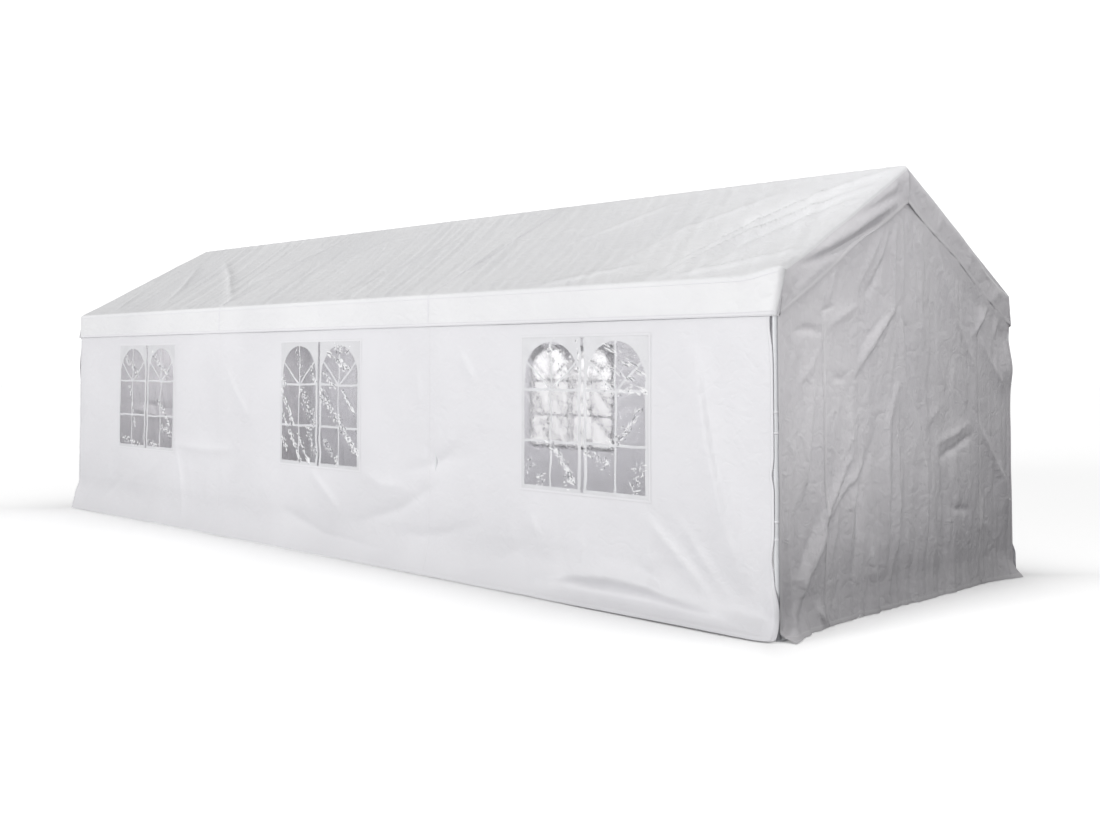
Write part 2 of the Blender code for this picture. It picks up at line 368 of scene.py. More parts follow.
def stitch_group():
    """Two rows of stitches near the edges of a band, from its flat place: along it and off its middle."""
    inputs = [("Off middle", "NodeSocketFloat", 0.009), ("Length", "NodeSocketFloat", 0.007)]
    group, given, result = new_group("stitch rows", inputs, [("Mask", "NodeSocketFloat")])
    flat = group.nodes.new("ShaderNodeUVMap")
    flat.uv_map = "cloth"
    parts = group.nodes.new("ShaderNodeSeparateXYZ")
    group.links.new(flat.outputs[0], parts.inputs[0])
    off = math_node(group, "ABSOLUTE", parts.outputs[1])
    miss = math_node(group, "ABSOLUTE", math_node(group, "SUBTRACT", off, given.outputs["Off middle"]))
    on_row = math_node(group, "LESS_THAN", miss, 0.0009)
    turn = math_node(group, "FRACT", math_node(group, "DIVIDE", parts.outputs[0], given.outputs["Length"]))
    in_stitch = math_node(group, "LESS_THAN", turn, 0.72)
    group.links.new(math_node(group, "MULTIPLY", on_row, in_stitch), result.inputs[0])
    return group


WEAVE = weave_group()
CREASES = creasing_group()
MOTTLE = mottle_group()
STITCHES = stitch_group()


def new_material(name, colour, roughness, metallic=0.0):
    material = bpy.data.materials.new(name)
    material.use_nodes = True
    shader = material.node_tree.nodes["Principled BSDF"]
    shader.inputs["Base Color"].default_value = (*colour, 1)
    shader.inputs["Roughness"].default_value = roughness
    shader.inputs["Metallic"].default_value = metallic
    return material, shader


def use_group(material, group, **values):
    node = material.node_tree.nodes.new("ShaderNodeGroup")
    node.node_tree = group
    for title, value in values.items():
        node.inputs[title.replace("_", " ")].default_value = value
    return node


def add_bump(material, height, distance, strength=1.0, before=None):
    """Bump from a height socket, after another bump's normal if before is given."""
    bump = material.node_tree.nodes.new("ShaderNodeBump")
    bump.inputs["Distance"].default_value = distance
    bump.inputs["Strength"].default_value = strength
    material.node_tree.links.new(height, bump.inputs["Height"])
    if before:
        material.node_tree.links.new(before, bump.inputs["Normal"])
    return bump.outputs[0]


def cloth_material(name, light, dark, crease_depth, dust_and_foot_shade=(0.0, 0.5), roughness=0.5):
    """Coated woven sheet: soft mottling, small creases and the weave of its tapes.

    Its last pair is how much a painted shade darkens the sheet at the ground and how high that reaches.
    """
    material, shader = new_material(name, light, roughness)
    links = material.node_tree.links
    shades = {"Light": (*light, 1), "Dark": (*dark, 1), "Scale": 1.3, "Groundshade": dust_and_foot_shade[0], "Groundshade_height": dust_and_foot_shade[1]}
    shade = use_group(material, MOTTLE, **shades)
    links.new(shade.outputs[0], shader.inputs["Base Color"])
    creases = use_group(material, CREASES, Size=5.0, Fineness=5.0)
    weave = use_group(material, WEAVE, Pitch=0.0028, Depth=1.0)
    normal = add_bump(material, creases.outputs["Height"], crease_depth)
    normal = add_bump(material, weave.outputs[0], 0.00012, before=normal)
    links.new(normal, shader.inputs["Normal"])
    sheen = math_node(material.node_tree, "MULTIPLY_ADD", creases.outputs["Crests"], -0.12, roughness + 0.04)
    links.new(sheen, shader.inputs["Roughness"])
    shader.inputs["Specular IOR Level"].default_value = 0.45
    return material


def hem_material(name, colour, dust_and_foot_shade=(0.0, 0.5)):
    """Doubled cloth with two rows of stitches; its last pair paints shade that darkens it towards the ground."""
    material, shader = new_material(name, colour, 0.55)
    links = material.node_tree.links
    stitches = use_group(material, STITCHES, Off_middle=0.0085, Length=0.007)
    darker = tuple(0.96 * c for c in colour)
    shades = {"Light": (*colour, 1), "Dark": (*darker, 1), "Scale": 1.3, "Groundshade": dust_and_foot_shade[0], "Groundshade_height": dust_and_foot_shade[1]}
    cloth = use_group(material, MOTTLE, **shades)
    shade = material.node_tree.nodes.new("ShaderNodeMix")
    shade.data_type = "RGBA"
    links.new(stitches.outputs[0], shade.inputs["Factor"])
    links.new(cloth.outputs[0], shade.inputs[6])
    shade.inputs[7].default_value = (*(0.84 * c for c in colour), 1)
    links.new(shade.outputs[2], shader.inputs["Base Color"])
    weave = use_group(material, WEAVE, Pitch=0.0028, Depth=1.0)
    normal = add_bump(material, weave.outputs[0], 0.00012)
    links.new(add_bump(material, stitches.outputs[0], 0.0006, before=normal), shader.inputs["Normal"])
    return material


def print_and_painted_light_material(name, colour):
    """White ink on the film, and the painted glints and painted shade of its creases: slightly patchy and satin."""
    material, shader = new_material(name, colour, 0.4)
    links = material.node_tree.links
    darker = tuple(0.93 * c for c in colour)
    shade = use_group(material, MOTTLE, Light=(*colour, 1), Dark=(*darker, 1), Scale=9.0)
    links.new(shade.outputs[0], shader.inputs["Base Color"])
    creases = use_group(material, CREASES, Size=14.0, Fineness=4.0)
    links.new(add_bump(material, creases.outputs["Height"], 0.003), shader.inputs["Normal"])
    return material


def film_material():
    """Clear film with fine crinkles and a slight haze."""
    material, shader = new_material("clear_film", (0.95, 0.945, 0.955), 0.06)
    links = material.node_tree.links
    shader.inputs["Transmission Weight"].default_value = 1.0
    shader.inputs["IOR"].default_value = 1.42
    creases = use_group(material, CREASES, Size=16.0, Fineness=3.0)
    links.new(add_bump(material, creases.outputs["Height"], 0.0015), shader.inputs["Normal"])
    haze = math_node(material.node_tree, "MULTIPLY_ADD", creases.outputs["Crests"], 0.02, 0.0)
    links.new(haze, shader.inputs["Roughness"])
    return material


def steel_material(name, colour, roughness, metallic, dust_and_foot_shade):
    """Painted or zinc-coated tube, a little dusty and uneven."""
    material, shader = new_material(name, colour, roughness, metallic)
    links = material.node_tree.links
    darker = tuple(c * dust_and_foot_shade for c in colour)
    shade = use_group(material, MOTTLE, Light=(*colour, 1), Dark=(*darker, 1), Scale=14.0)
    links.new(shade.outputs[0], shader.inputs["Base Color"])
    creases = use_group(material, CREASES, Size=60.0, Fineness=3.0)
    links.new(add_bump(material, creases.outputs["Height"], 0.0002), shader.inputs["Normal"])
    uneven = math_node(material.node_tree, "MULTIPLY_ADD", creases.outputs["Height"], 0.25, roughness - 0.05)
    links.new(uneven, shader.inputs["Roughness"])
    return material


ROOF_CLOTH = cloth_material("roof_sheet", (0.85, 0.85, 0.86), (0.80, 0.80, 0.815), 0.007)
# The last pair on the wall and end-wall sheets and their hems is painted shade near the ground: how much darker, and
# how high.
WALL_CLOTH = cloth_material("wall_sheet", (0.82, 0.815, 0.84), (0.78, 0.775, 0.80), 0.004, (0.16, 0.7))
# The end walls' sheet and hem are darker copies of the same cloth: painted shade for the end walls, doors, zips and
# gable valances, which stand in shade.
SHADED_END_CLOTH = cloth_material("shaded_end_wall_sheet", (0.78, 0.765, 0.785), (0.71, 0.695, 0.72), 0.012, (0.29, 1.3))
HEM_CLOTH = hem_material("hem_cloth", (0.83, 0.825, 0.85), (0.16, 0.7))
SHADED_END_HEM_CLOTH = hem_material("shaded_end_hem_cloth", (0.80, 0.785, 0.805), (0.29, 1.3))
PRINT = print_and_painted_light_material("printed_white", (0.76, 0.76, 0.78))
# Painted glints and painted shade: white and grey strokes along the film's creases.
PAINTED_CREASE_GLINTS = print_and_painted_light_material("painted_glints_on_film_creases", (0.97, 0.97, 0.98))
CREASE_GREY = print_and_painted_light_material("shaded_film_creases", (0.34, 0.34, 0.36))
FILM = film_material()
WHITE_STEEL = steel_material("white_painted_steel", (0.80, 0.81, 0.83), 0.32, 0.0, 0.92)
ZINC = steel_material("zinc_coating", (0.62, 0.64, 0.66), 0.40, 0.8, 0.85)


# Roof cover: one sheet over both slopes, with the valances of the long sides, and one for each gable.


def rounded_section():
    """The cover's section from the front hem over the ridge to the back hem: y, z and outward normal."""
    corners = [(-COVER_Y, HEM_Z), (-COVER_Y, EAVE_Z), (0, RIDGE_Z), (COVER_Y, EAVE_Z), (COVER_Y, HEM_Z)]
    corners = [np.array(c) for c in corners]
    points = [corners[0]]
    for before, corner, after in zip(corners, corners[1:], corners[2:]):
        to_before = (before - corner) / np.hypot(*(before - corner))
        to_after = (after - corner) / np.hypot(*(after - corner))
        half = math.acos(float(to_before @ to_after)) / 2
        run = BEND_RADIUS / math.tan(half)
        centre = corner + (to_before + to_after) / 2 / math.cos(half) * BEND_RADIUS / math.sin(half)
        start = corner + to_before * run - centre
        end = corner + to_after * run - centre
        turn = math.atan2(start[0] * end[1] - start[1] * end[0], float(start @ end))
        for share in np.linspace(0, 1, 6):
            a = turn * share
            spun = [start[0] * math.cos(a) - start[1] * math.sin(a), start[0] * math.sin(a) + start[1] * math.cos(a)]
            points.append(centre + spun)
    points.append(corners[-1])
    points = np.array(points)
    at = np.concatenate([[0], np.cumsum(np.hypot(*np.diff(points, axis=0).T))])
    s = stations(list(at), CLOTH_STEP)
    y, z = np.interp(s, at, points[:, 0]), np.interp(s, at, points[:, 1])
    dy, dz = np.gradient(y, s), np.gradient(z, s)
    size = np.hypot(dy, dz)
    return s, y, z, -dz / size, dy / size, at[1], at[6]


SECTION_S, SECTION_Y, SECTION_Z, NORMAL_Y, NORMAL_Z, VALANCE_END, SLOPE_START = rounded_section()
SECTION_END = SECTION_S[-1]
SLOPE_RUN = SECTION_END / 2 - SLOPE_START

# Folds of the roof's front slope: points (x, distance up from the eave), height and width.
ROOF_FOLDS = [
    ([(4.45, 1.62), (4.09, 1.27), (3.85, 0.89), (3.54, 0.28)], 0.020, 0.030),
    ([(4.47, 1.36), (4.10, 0.98), (3.85, 0.65), (3.61, 0.08)], 0.020, 0.028),
    ([(4.40, 1.10), (4.14, 0.67), (3.99, 0.39), (3.85, 0.12)], 0.016, 0.026),
    ([(4.42, 0.34), (4.12, 0.19), (3.75, 0.07)], 0.012, 0.022),
    ([(3.95, 1.30), (3.65, 0.98), (3.51, 0.54), (3.36, 0.14)], -0.018, 0.060),
    ([(4.30, 1.15), (4.02, 0.82), (3.80, 0.40)], -0.010, 0.030),
    ([(3.70, 1.45), (3.20, 0.95), (2.98, 0.30), (2.54, 0.03)], 0.009, 0.035),
    ([(2.70, 1.50), (2.43, 1.18), (2.20, 0.90)], 0.008, 0.030),
    ([(3.20, 1.40), (3.13, 0.78)], 0.007, 0.035),
    ([(3.23, 0.34), (2.92, 0.18), (2.59, 0.05)], 0.008, 0.022),
    ([(1.90, 1.55), (1.85, 0.85), (1.66, 0.15)], 0.006, 0.045),
    ([(1.33, 1.66), (1.35, 0.92), (1.43, 0.25)], 0.010, 0.040),
    ([(0.62, 1.50), (0.40, 0.60), (0.22, 0.06)], 0.012, 0.040),
    ([(0.10, 1.10), (0.20, 0.50), (0.28, 0.06)], -0.008, 0.050),
    ([(0.50, 1.05), (0.18, 0.30), (0.05, 0.05)], 0.008, 0.030),
    ([(-0.60, 1.50), (-0.95, 0.70), (-1.20, 0.12)], 0.008, 0.040),
    ([(-1.55, 1.50), (-1.95, 0.62), (-2.00, 0.06)], -0.012, 0.050),
    ([(-1.67, 1.50), (-1.75, 0.50), (-1.60, 0.08)], 0.010, 0.040),
    ([(-3.48, 1.30), (-2.71, 0.85), (-2.10, 0.45), (-1.55, 0.10)], 0.008, 0.030),
    ([(-3.90, 1.20), (-3.30, 0.60), (-2.90, 0.10)], 0.009, 0.035),
    ([(-4.30, 0.90), (-4.00, 0.35), (-3.80, 0.05)], 0.008, 0.035),
]


def roof_height(x, s):
    """How far the cover stands out from its plain section."""
    seed = np.where(s < SECTION_END / 2, 0.0, 7.0)
    up = np.minimum(s, SECTION_END - s) - SLOPE_START
    r = np.clip(up / SLOPE_RUN, 0, 1)
    on_slope = ease(up, 0.0, 0.03)
    bay_place = (x + POST_X) / BAY
    in_bay = bay_place - np.floor(np.clip(bay_place, 0, BAYS - 1e-6))
    in_bay = np.clip(in_bay, 0, 1)
    sag = -0.030 * (4 * in_bay * (1 - in_bay)) ** 0.75 * np.sin(math.pi * r) ** 0.8
    slanted = x + 0.35 * up + seed
    streaks = crumple(slanted, up, 0.16, 11, stretch=4.5, tilt=(-0.35, 0.35))
    small = crumple(slanted, up, 0.075, 12, stretch=2.6, tilt=(-0.7, 0.7))
    puckers = crumple(x + seed, up, 0.045, 13, stretch=1.6, tilt=(-0.35, 0.35), layers=6)
    puckers = 0.0065 * puckers * ease(up, 0.0, 0.02) * np.exp(-up / 0.09)
    packing = sum(0.0025 * np.exp(-np.abs(x - place) / 0.012) for place in (-3.7, -2.2, 0.0, 2.3, 3.3))
    height = sag + 0.0105 * streaks + 0.0040 * small + puckers + packing
    in_front = s < SECTION_END / 2
    strength = 1.8 + 0.7 * ease(np.where(in_front, x, -x), 2.6, 3.6)
    height = height + strength * np.where(in_front, all_folds(x, up, ROOF_FOLDS), all_folds(-x, up, ROOF_FOLDS))
    near_ridge = ease(SLOPE_RUN - up, 0.0, 0.08)
    near_rake = ease(COVER_X - np.abs(x), 0.0, 0.10)
    return height * on_slope * (0.25 + 0.75 * near_ridge) * near_rake


def long_valance_height(x, s):
    """Small waves of the long valance, none at the eave and most at the hem."""
    down = np.maximum(VALANCE_END - np.minimum(s, SECTION_END - s), 0) / VALANCE_END
    seed = np.where(s < SECTION_END / 2, 0.0, 9.0)
    waves = 0.5 + 0.5 * soft_noise(x + seed, down, 0.34, 3.0, 21)
    ripples = crumple(x + seed, down * 0.2, 0.10, 22, stretch=3.0, tilt=(-0.4, 0.4))
    step = 0.004 * ease(x, 1.34, 1.42)
    near_corner = ease(COVER_X - np.abs(x), 0.0, 0.12)
    return near_corner * (down * (0.009 * waves + step) + 0.0014 * ripples * np.sqrt(down) + 0.001 * down)


def cover_place(x, s, lift=0.0):
    """Point of the roof cover at x and at the distance s along its section."""
    y = np.interp(s, SECTION_S, SECTION_Y)
    z = np.interp(s, SECTION_S, SECTION_Z)
    normal_y = np.interp(s, SECTION_S, NORMAL_Y)
    normal_z = np.interp(s, SECTION_S, NORMAL_Z)
    past = np.clip(np.abs(x) - (COVER_X - END_RADIUS), 0, END_RADIUS)
    rounding = END_RADIUS - np.sqrt(np.maximum(END_RADIUS**2 - past**2, 0))
    out = roof_height(x, s) + long_valance_height(x, s) + lift - 0.75 * rounding
    puff = corner_puff(x, y, s)
    moved_x, moved_y = x + 0.85 * np.sign(x) * puff, y - 0.15 * np.sign(y) * puff
    return np.stack([moved_x, moved_y + normal_y * out, z + puff + normal_z * out - edge_sag(x, y)], axis=-1)


def corner_puff(x, y, s):
    """How far two of the cover's corners stand up and out over their joints: most at the eave, none at the hem."""
    along = np.minimum(s, SECTION_END - s)
    down = np.clip(1 - along / VALANCE_END, 0, 1)
    up = np.clip(along - VALANCE_END, 0, None)
    which = x * y < 0
    return 0.046 * which * ease(np.abs(x), COVER_X - 0.26, COVER_X - 0.01) * (1 - down) * ease(up, 0.30, 0.0)


def edge_sag(x, y):
    """Where the cover's edge droops between its last arch and the gable's valance."""
    droop = 0.045 * np.exp(-(((y * np.sign(x) - 1.22) / 0.20) ** 2))
    bumps = 0.007 * soft_noise(y + 3 * np.sign(x), 0 * y, 0.13, 1.0, 14) * ease(COVER_Y - np.abs(y), 0.0, 0.15)
    return (droop + bumps) * ease(np.abs(x), COVER_X - 0.05, COVER_X)


# Folds of the gable valances: points (y, height), height of the fold and width.
VALANCE_FOLDS = [
    ([(-1.36, 2.12), (-1.05, 2.19), (-0.84, 2.25), (-0.59, 2.35), (-0.33, 2.46)], -0.028, 0.020, -0.4),
    ([(-1.28, 2.19), (-1.00, 2.26), (-0.74, 2.36), (-0.45, 2.49), (-0.18, 2.60)], 0.040, 0.042, -0.45),
    ([(-0.78, 2.41), (-0.52, 2.52), (-0.31, 2.60), (-0.10, 2.66)], -0.020, 0.018, -0.3),
    ([(-0.58, 2.53), (-0.36, 2.64), (-0.16, 2.73)], 0.020, 0.030, -0.3),
    ([(-0.16, 2.62), (-0.13, 2.76)], -0.010, 0.016, 0.0),
    ([(-1.33, 1.98), (-1.10, 2.12), (-0.90, 2.21)], 0.014, 0.024, 0.0),
    ([(-1.42, 1.95), (-1.36, 2.10)], 0.008, 0.020),
    ([(-0.02, 2.60), (0.0, 2.84)], 0.014, 0.016),
    ([(0.12, 2.62), (0.06, 2.80)], -0.008, 0.020),
    ([(0.35, 2.42), (0.50, 2.58)], 0.008, 0.030),
    ([(0.80, 2.20), (0.92, 2.36)], 0.009, 0.030),
    ([(1.05, 2.06), (1.20, 2.20)], -0.009, 0.030),
    ([(1.18, 2.00), (1.36, 2.10)], 0.010, 0.030),
]


def gable_hem_z(y):
    straight = RIDGE_Z - GABLE_VALANCE - (RIDGE_Z - GABLE_VALANCE - HEM_Z) * np.minimum(np.abs(y) / COVER_Y, 1)
    return straight + 0.022 * np.exp(-(((np.abs(y) - 0.66) / 0.22) ** 2)) * ease(np.abs(y), 0.0, 0.2)


def gable_valance_height(y, z, end):
    """How far a gable's valance stands out, from 0 at the roof's edge."""
    rake_z = RIDGE_Z - SLOPE * np.abs(y)
    down = np.clip((rake_z - z) / GABLE_VALANCE, 0, 1)
    waves = 0.5 + 0.5 * soft_noise(y + end * 5, z, 0.30, 0.8, 31)
    creases = crumple(y + end * 5, z, 0.11, 32, stretch=1.6)
    folds = all_folds(y * end, z, VALANCE_FOLDS)
    near_corner = ease(COVER_Y - np.abs(y), 0.0, 0.10)
    drawn_in = -0.016 * down * ease(y * end, -0.25, 0.35)
    shape = 0.002 + 0.008 * waves + 0.0034 * creases + folds
    return near_corner * (ease(down, 0.0, 0.25) * shape + drawn_in)


def build_cover_mesh():
    """The whole cover: the long sheet, and a valance on each gable that shares its edge points."""
    inner = stations([-COVER_X + END_RADIUS, *ARCH_XS[1:-1], COVER_X - END_RADIUS], CLOTH_STEP)
    close = END_RADIUS * np.array([0.0, 0.05, 0.18, 0.38, 0.66])
    xs = np.concatenate([close - COVER_X, inner, COVER_X - close[::-1]])
    x, s = np.meshgrid(xs, SECTION_S, indexing="ij")
    points = [cover_place(x, s).reshape(-1, 3)]
    flats = [np.stack([x.ravel(), s.ravel()], axis=1)]
    quads = [grid_quads(len(xs), len(SECTION_S))[:, ::-1]]
    first = len(points[0])
    sheet = points[0].reshape(len(xs), len(SECTION_S), 3)
    on_top = np.where((SECTION_S >= VALANCE_END - 1e-6) & (SECTION_S <= SECTION_END - VALANCE_END + 1e-6))[0]
    rows = int(on_top[0]) + 1
    for end in ENDS.values():
        edge = sheet[-1 if end > 0 else 0]
        top = edge[on_top]
        down = np.linspace(0, 1, rows)[:, None, None]
        spread = COVER_Y - np.max(np.abs(top[:, 1]))
        foot_y = top[:, 1] + np.sign(top[:, 1]) * spread * ease(np.abs(top[:, 1]), 1.15, COVER_Y - spread)
        foot = np.stack([np.full(len(top), end * COVER_X), foot_y, gable_hem_z(foot_y)], axis=-1)
        valance = top[None] * (1 - down) + foot[None] * down
        drop = np.minimum(down, 0.12) / 0.12
        y, z = valance[..., 1], valance[..., 2]
        flared = np.abs(top[None, :, 0]) - COVER_X
        out = COVER_X + flared * (1 - down[..., 0]) + drop[..., 0] * gable_valance_height(y, z, end)
        valance[..., 0] = end * out
        valance[0] = top
        valance[:, 0] = edge[: rows][::-1]
        valance[:, -1] = edge[len(SECTION_S) - rows :]
        points.append(valance.reshape(-1, 3))
        flats.append(np.stack([valance[..., 1].ravel(), valance[..., 2].ravel()], axis=1))
        side = grid_quads(rows, len(top), first)
        quads.append(side if end > 0 else side[:, ::-1])
        first += len(points[-1])
    mesh = mesh_of("roof_cloth", np.concatenate(points), np.concatenate(quads), np.concatenate(flats))
    # The gable valance faces take the second slot, the darker end-wall cloth: painted shade on the same sheet.
    valance_faces = np.arange(len(mesh.polygons)) >= len(quads[0])
    mesh.polygons.foreach_set("material_index", valance_faces.astype(np.int32))
    bm = bmesh.new()
    bm.from_mesh(mesh)
    bmesh.ops.remove_doubles(bm, verts=bm.verts, dist=0.0002)
    bmesh.ops.recalc_face_normals(bm, faces=bm.faces)
    bm.to_mesh(mesh)
    bm.free()
    return mesh


def gable_valance_place(end):
    def place(y, z, lift=0.0):
        out = COVER_X + gable_valance_height(y, z, end) + lift
        return np.stack([end * out, y, z + 0 * y], axis=-1)

    return place


def add_roof_cover():
    cover = new_object("roof_cloth", build_cover_mesh(), ROOF_CLOTH)
    # Second slot: the darker end-wall cloth, painted shade for the gable valances.
    cover.data.materials.append(SHADED_END_CLOTH)
    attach(cover, "root")
    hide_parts("roof_cover")
    bands = []
    for s in (0.0135, SECTION_END - 0.0135):
        line = [(x, s) for x in np.linspace(-COVER_X + 0.01, COVER_X - 0.01, 420)]
        bands.append(ribbon_parts(cover_place, line, 0.027, 0.0006, crown=0.0012))
    for s in (VALANCE_END - 0.012, SECTION_END - VALANCE_END + 0.012):
        line = [(x, s) for x in np.linspace(-COVER_X + 0.03, COVER_X - 0.03, 420)]
        bands.append(ribbon_parts(cover_place, line, 0.008, 0.0004, crown=0.0016))
    for x in (-1.58, 1.42):
        bands.append(ribbon_parts(cover_place, [(x, 0.02), (x, SECTION_END - 0.02)], 0.022, 0.0005, crown=0.0010, step=0.012))
    hems = ribbons("roof_cover_hems", bands, HEM_CLOTH)
    end_bands = []
    for end in ENDS.values():
        for side in (-1, 1):
            ys = side * np.linspace(0.004, COVER_Y - 0.03, 80)
            line = [(y, float(gable_hem_z(y)) + 0.0135) for y in ys]
            end_bands.append(ribbon_parts(gable_valance_place(end), line, 0.027, 0.0006, crown=0.0014))
    end_hems = ribbons("gable_valance_hems", end_bands, SHADED_END_HEM_CLOTH)
    for piece in (hems, end_hems):
        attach(piece, "root")


# Side walls.

# Folds of the front wall: points (x, z), height of the fold and width.
FRONT_FOLDS = [
    ([(-2.38, 0.78), (-2.26, 0.46), (-2.20, 0.10)], 0.013, 0.055, 0.5),
    ([(-2.38, 0.78), (-1.88, 0.76), (-1.34, 0.77)], 0.01, 0.04, 0.0),
    ([(-2.43, 0.72), (-2.88, 0.51), (-3.68, 0.27)], 0.003, 0.06, 0.0),
    ([(-3.48, 0.38), (-3.90, 0.15)], -0.008, 0.05, 0.0),
    ([(-0.48, 0.31), (0.09, 0.16), (0.54, 0.13), (1.05, 0.10)], -0.018, 0.045, 0.0),
    ([(0.54, 0.31), (1.08, 0.45), (1.49, 0.65)], -0.014, 0.05, 0.0),
    ([(-0.12, 0.68), (0.09, 0.54), (0.30, 0.39)], 0.012, 0.045, 0.4),
    ([(0.61, 0.71), (0.84, 0.63), (1.13, 0.62)], 0.009, 0.05, 0.3),
    ([(1.13, 0.74), (1.46, 0.81), (1.81, 0.97)], -0.008, 0.04, 0.0),
    ([(1.13, 0.26), (1.52, 0.30), (1.98, 0.41)], -0.009, 0.045, 0.0),
    ([(1.83, 0.06), (2.18, 0.17), (2.46, 0.33)], -0.009, 0.055, 0.0),
    ([(2.60, 0.12), (2.98, 0.18), (3.24, 0.20), (3.55, 0.18), (3.72, 0.14), (4.10, 0.10), (4.42, 0.05)], 0.042, 0.055, -0.3),
    ([(2.90, 0.07), (3.60, 0.08), (4.05, 0.05)], -0.014, 0.040, 0.0),
    ([(3.45, 0.30), (3.60, 0.25), (3.72, 0.16)], -0.010, 0.030, 0.0),
    ([(2.64, -0.03), (3.27, 0.03), (3.84, -0.00), (4.35, -0.01)], 0.01, 0.04, 0.0),
    ([(3.92, 1.70), (3.96, 1.38), (4.03, 1.02), (4.14, 0.61), (4.26, 0.30)], 0.018, 0.06, 0.7),
    ([(4.14, 1.03), (4.22, 0.62), (4.35, 0.21)], 0.009, 0.04, 0.5),
    ([(3.56, 0.59), (3.84, 0.36), (4.06, 0.17)], 0.014, 0.04, 0.5),
    ([(3.81, 0.61), (4.00, 0.38), (4.19, 0.18)], 0.009, 0.034, 0.5),
    ([(2.52, 0.54), (2.58, 0.40)], 0.008, 0.026, 0.4),
    ([(2.99, 0.44), (3.00, 0.26)], 0.007, 0.02, 0.4),
    ([(3.55, 0.49), (3.56, 0.21)], 0.008, 0.02, 0.4),
    ([(1.33, 0.98), (1.52, 0.83), (1.93, 0.91)], -0.007, 0.05, 0.0),
    ([(-1.48, 1.54), (-1.27, 1.28), (-1.05, 1.08)], 0.009, 0.05, 0.5),
    ([(-1.23, 1.07), (-1.26, 0.74)], 0.007, 0.05, 0.4),
    ([(1.78, 1.65), (1.93, 1.44)], 0.008, 0.045, 0.5),
    ([(1.29, 1.51), (1.32, 1.23)], 0.007, 0.045, 0.4),
]
BACK_FOLDS = [
    ([(-3.55, 0.70), (-3.75, 0.35), (-3.80, 0.05)], 0.012, 0.05),
    ([(-2.43, 0.75), (-2.05, 0.42), (-1.60, 0.15)], 0.010, 0.05),
    ([(-1.45, 1.60), (-1.38, 0.90), (-1.52, 0.30)], -0.008, 0.07),
    ([(-0.55, 0.70), (-0.72, 0.35), (-0.70, 0.05)], 0.013, 0.05),
    ([(0.30, 0.55), (0.62, 0.20), (1.15, 0.12)], -0.012, 0.06),
    ([(1.70, 1.50), (1.62, 0.80), (1.85, 0.25)], 0.008, 0.06),
    ([(2.42, 0.72), (2.20, 0.30), (2.10, 0.04)], 0.012, 0.05),
    ([(3.60, 0.74), (4.00, 0.40), (4.42, 0.05)], 0.013, 0.05),
    ([(4.05, 1.75), (3.95, 1.20), (4.05, 0.70)], -0.010, 0.06),
]
SEAM_XS = (-1.58, 1.42)
PACKING_XS = (-3.98, -2.05, -0.95, 0.95, 2.05, 3.98)


def in_windows(x, z, margin=0.0):
    inside = np.zeros(np.shape(x), dtype=bool)
    for low, high in WINDOW_SPANS:
        inside |= (x > low - margin) & (x < high + margin)
    return inside & (z > WINDOW_LOW - margin) & (z < WINDOW_HIGH + margin)


def hem_run(x, side):
    """How far the hem lies out from the wall's foot."""
    drift = soft_noise(x + 13 * side, 0 * x, 0.9, 1.0, 41)
    ripple = soft_noise(x + 13 * side, 0 * x, 0.22, 1.0, 42)
    near_corner = ease(WALL_X - np.abs(x), -0.02, 0.10)
    if side > 0:
        return 0.018 + near_corner * (0.026 + 0.008 * drift + 0.004 * ripple)
    end_share = ease(x, 1.2, 3.4)
    return 0.070 + near_corner * (-0.002 + 0.034 * end_share + (0.010 - 0.005 * end_share) * drift + 0.004 * ripple)


def side_wall_height(x, z, side):
    """How far a side wall stands out from its plane."""
    bulge = 0.010 * soft_noise(x + 3 * side, z, 1.1, 0.8, 43)
    drape = crumple(x + 9 * side, z, 0.42, 44, stretch=1.8, tilt=(-0.9, 0.9))
    creases = crumple(x + 9 * side, z, 0.15, 45, stretch=1.3)
    packing = sum(np.exp(-np.abs(x - place) / 0.010) for place in PACKING_XS)
    level = sum(np.exp(-np.abs(z - place) / 0.010) for place in (0.36, 1.12))
    folds = all_folds(x, z, FRONT_FOLDS if side < 0 else BACK_FOLDS)
    low = ease(z, 1.2, 0.2)
    height = bulge + (0.0030 + 0.0035 * low) * drape + (0.0012 + 0.0012 * low) * creases
    height = height + 0.0016 * packing + 0.0009 * level + folds
    below_valance = ease(z, WALL_TOP - 0.16, WALL_TOP - 0.50)
    at_posts = ease(WALL_X - np.abs(x), 0.0, 0.12)
    over_post = 0.024 * ease(np.abs(x), WALL_X - 0.09, WALL_X - 0.02) * ease(z, 0.34, 0.16)
    reach = 0.30 - (0.17 * ease(x, 2.5, 3.1) if side < 0 else 0)
    flare = (hem_run(x, side) - over_post) * np.clip(1 - z / reach, 0, 1) ** 2
    return height * below_valance * at_posts + over_post + flare


def post_slit(z, slits):
    """How far a wall's edge draws back from its corner post between the straps."""
    return sum(depth * np.exp(-(((z - middle) / reach) ** 2)) for middle, reach, depth in slits)


SIDE_SLITS = ((0.93, 0.05, 0.014), (0.45, 0.09, 0.018), (1.80, 0.13, 0.022))
END_SLITS = ((0.80, 0.12, 0.006), (1.20, 0.08, 0.004))


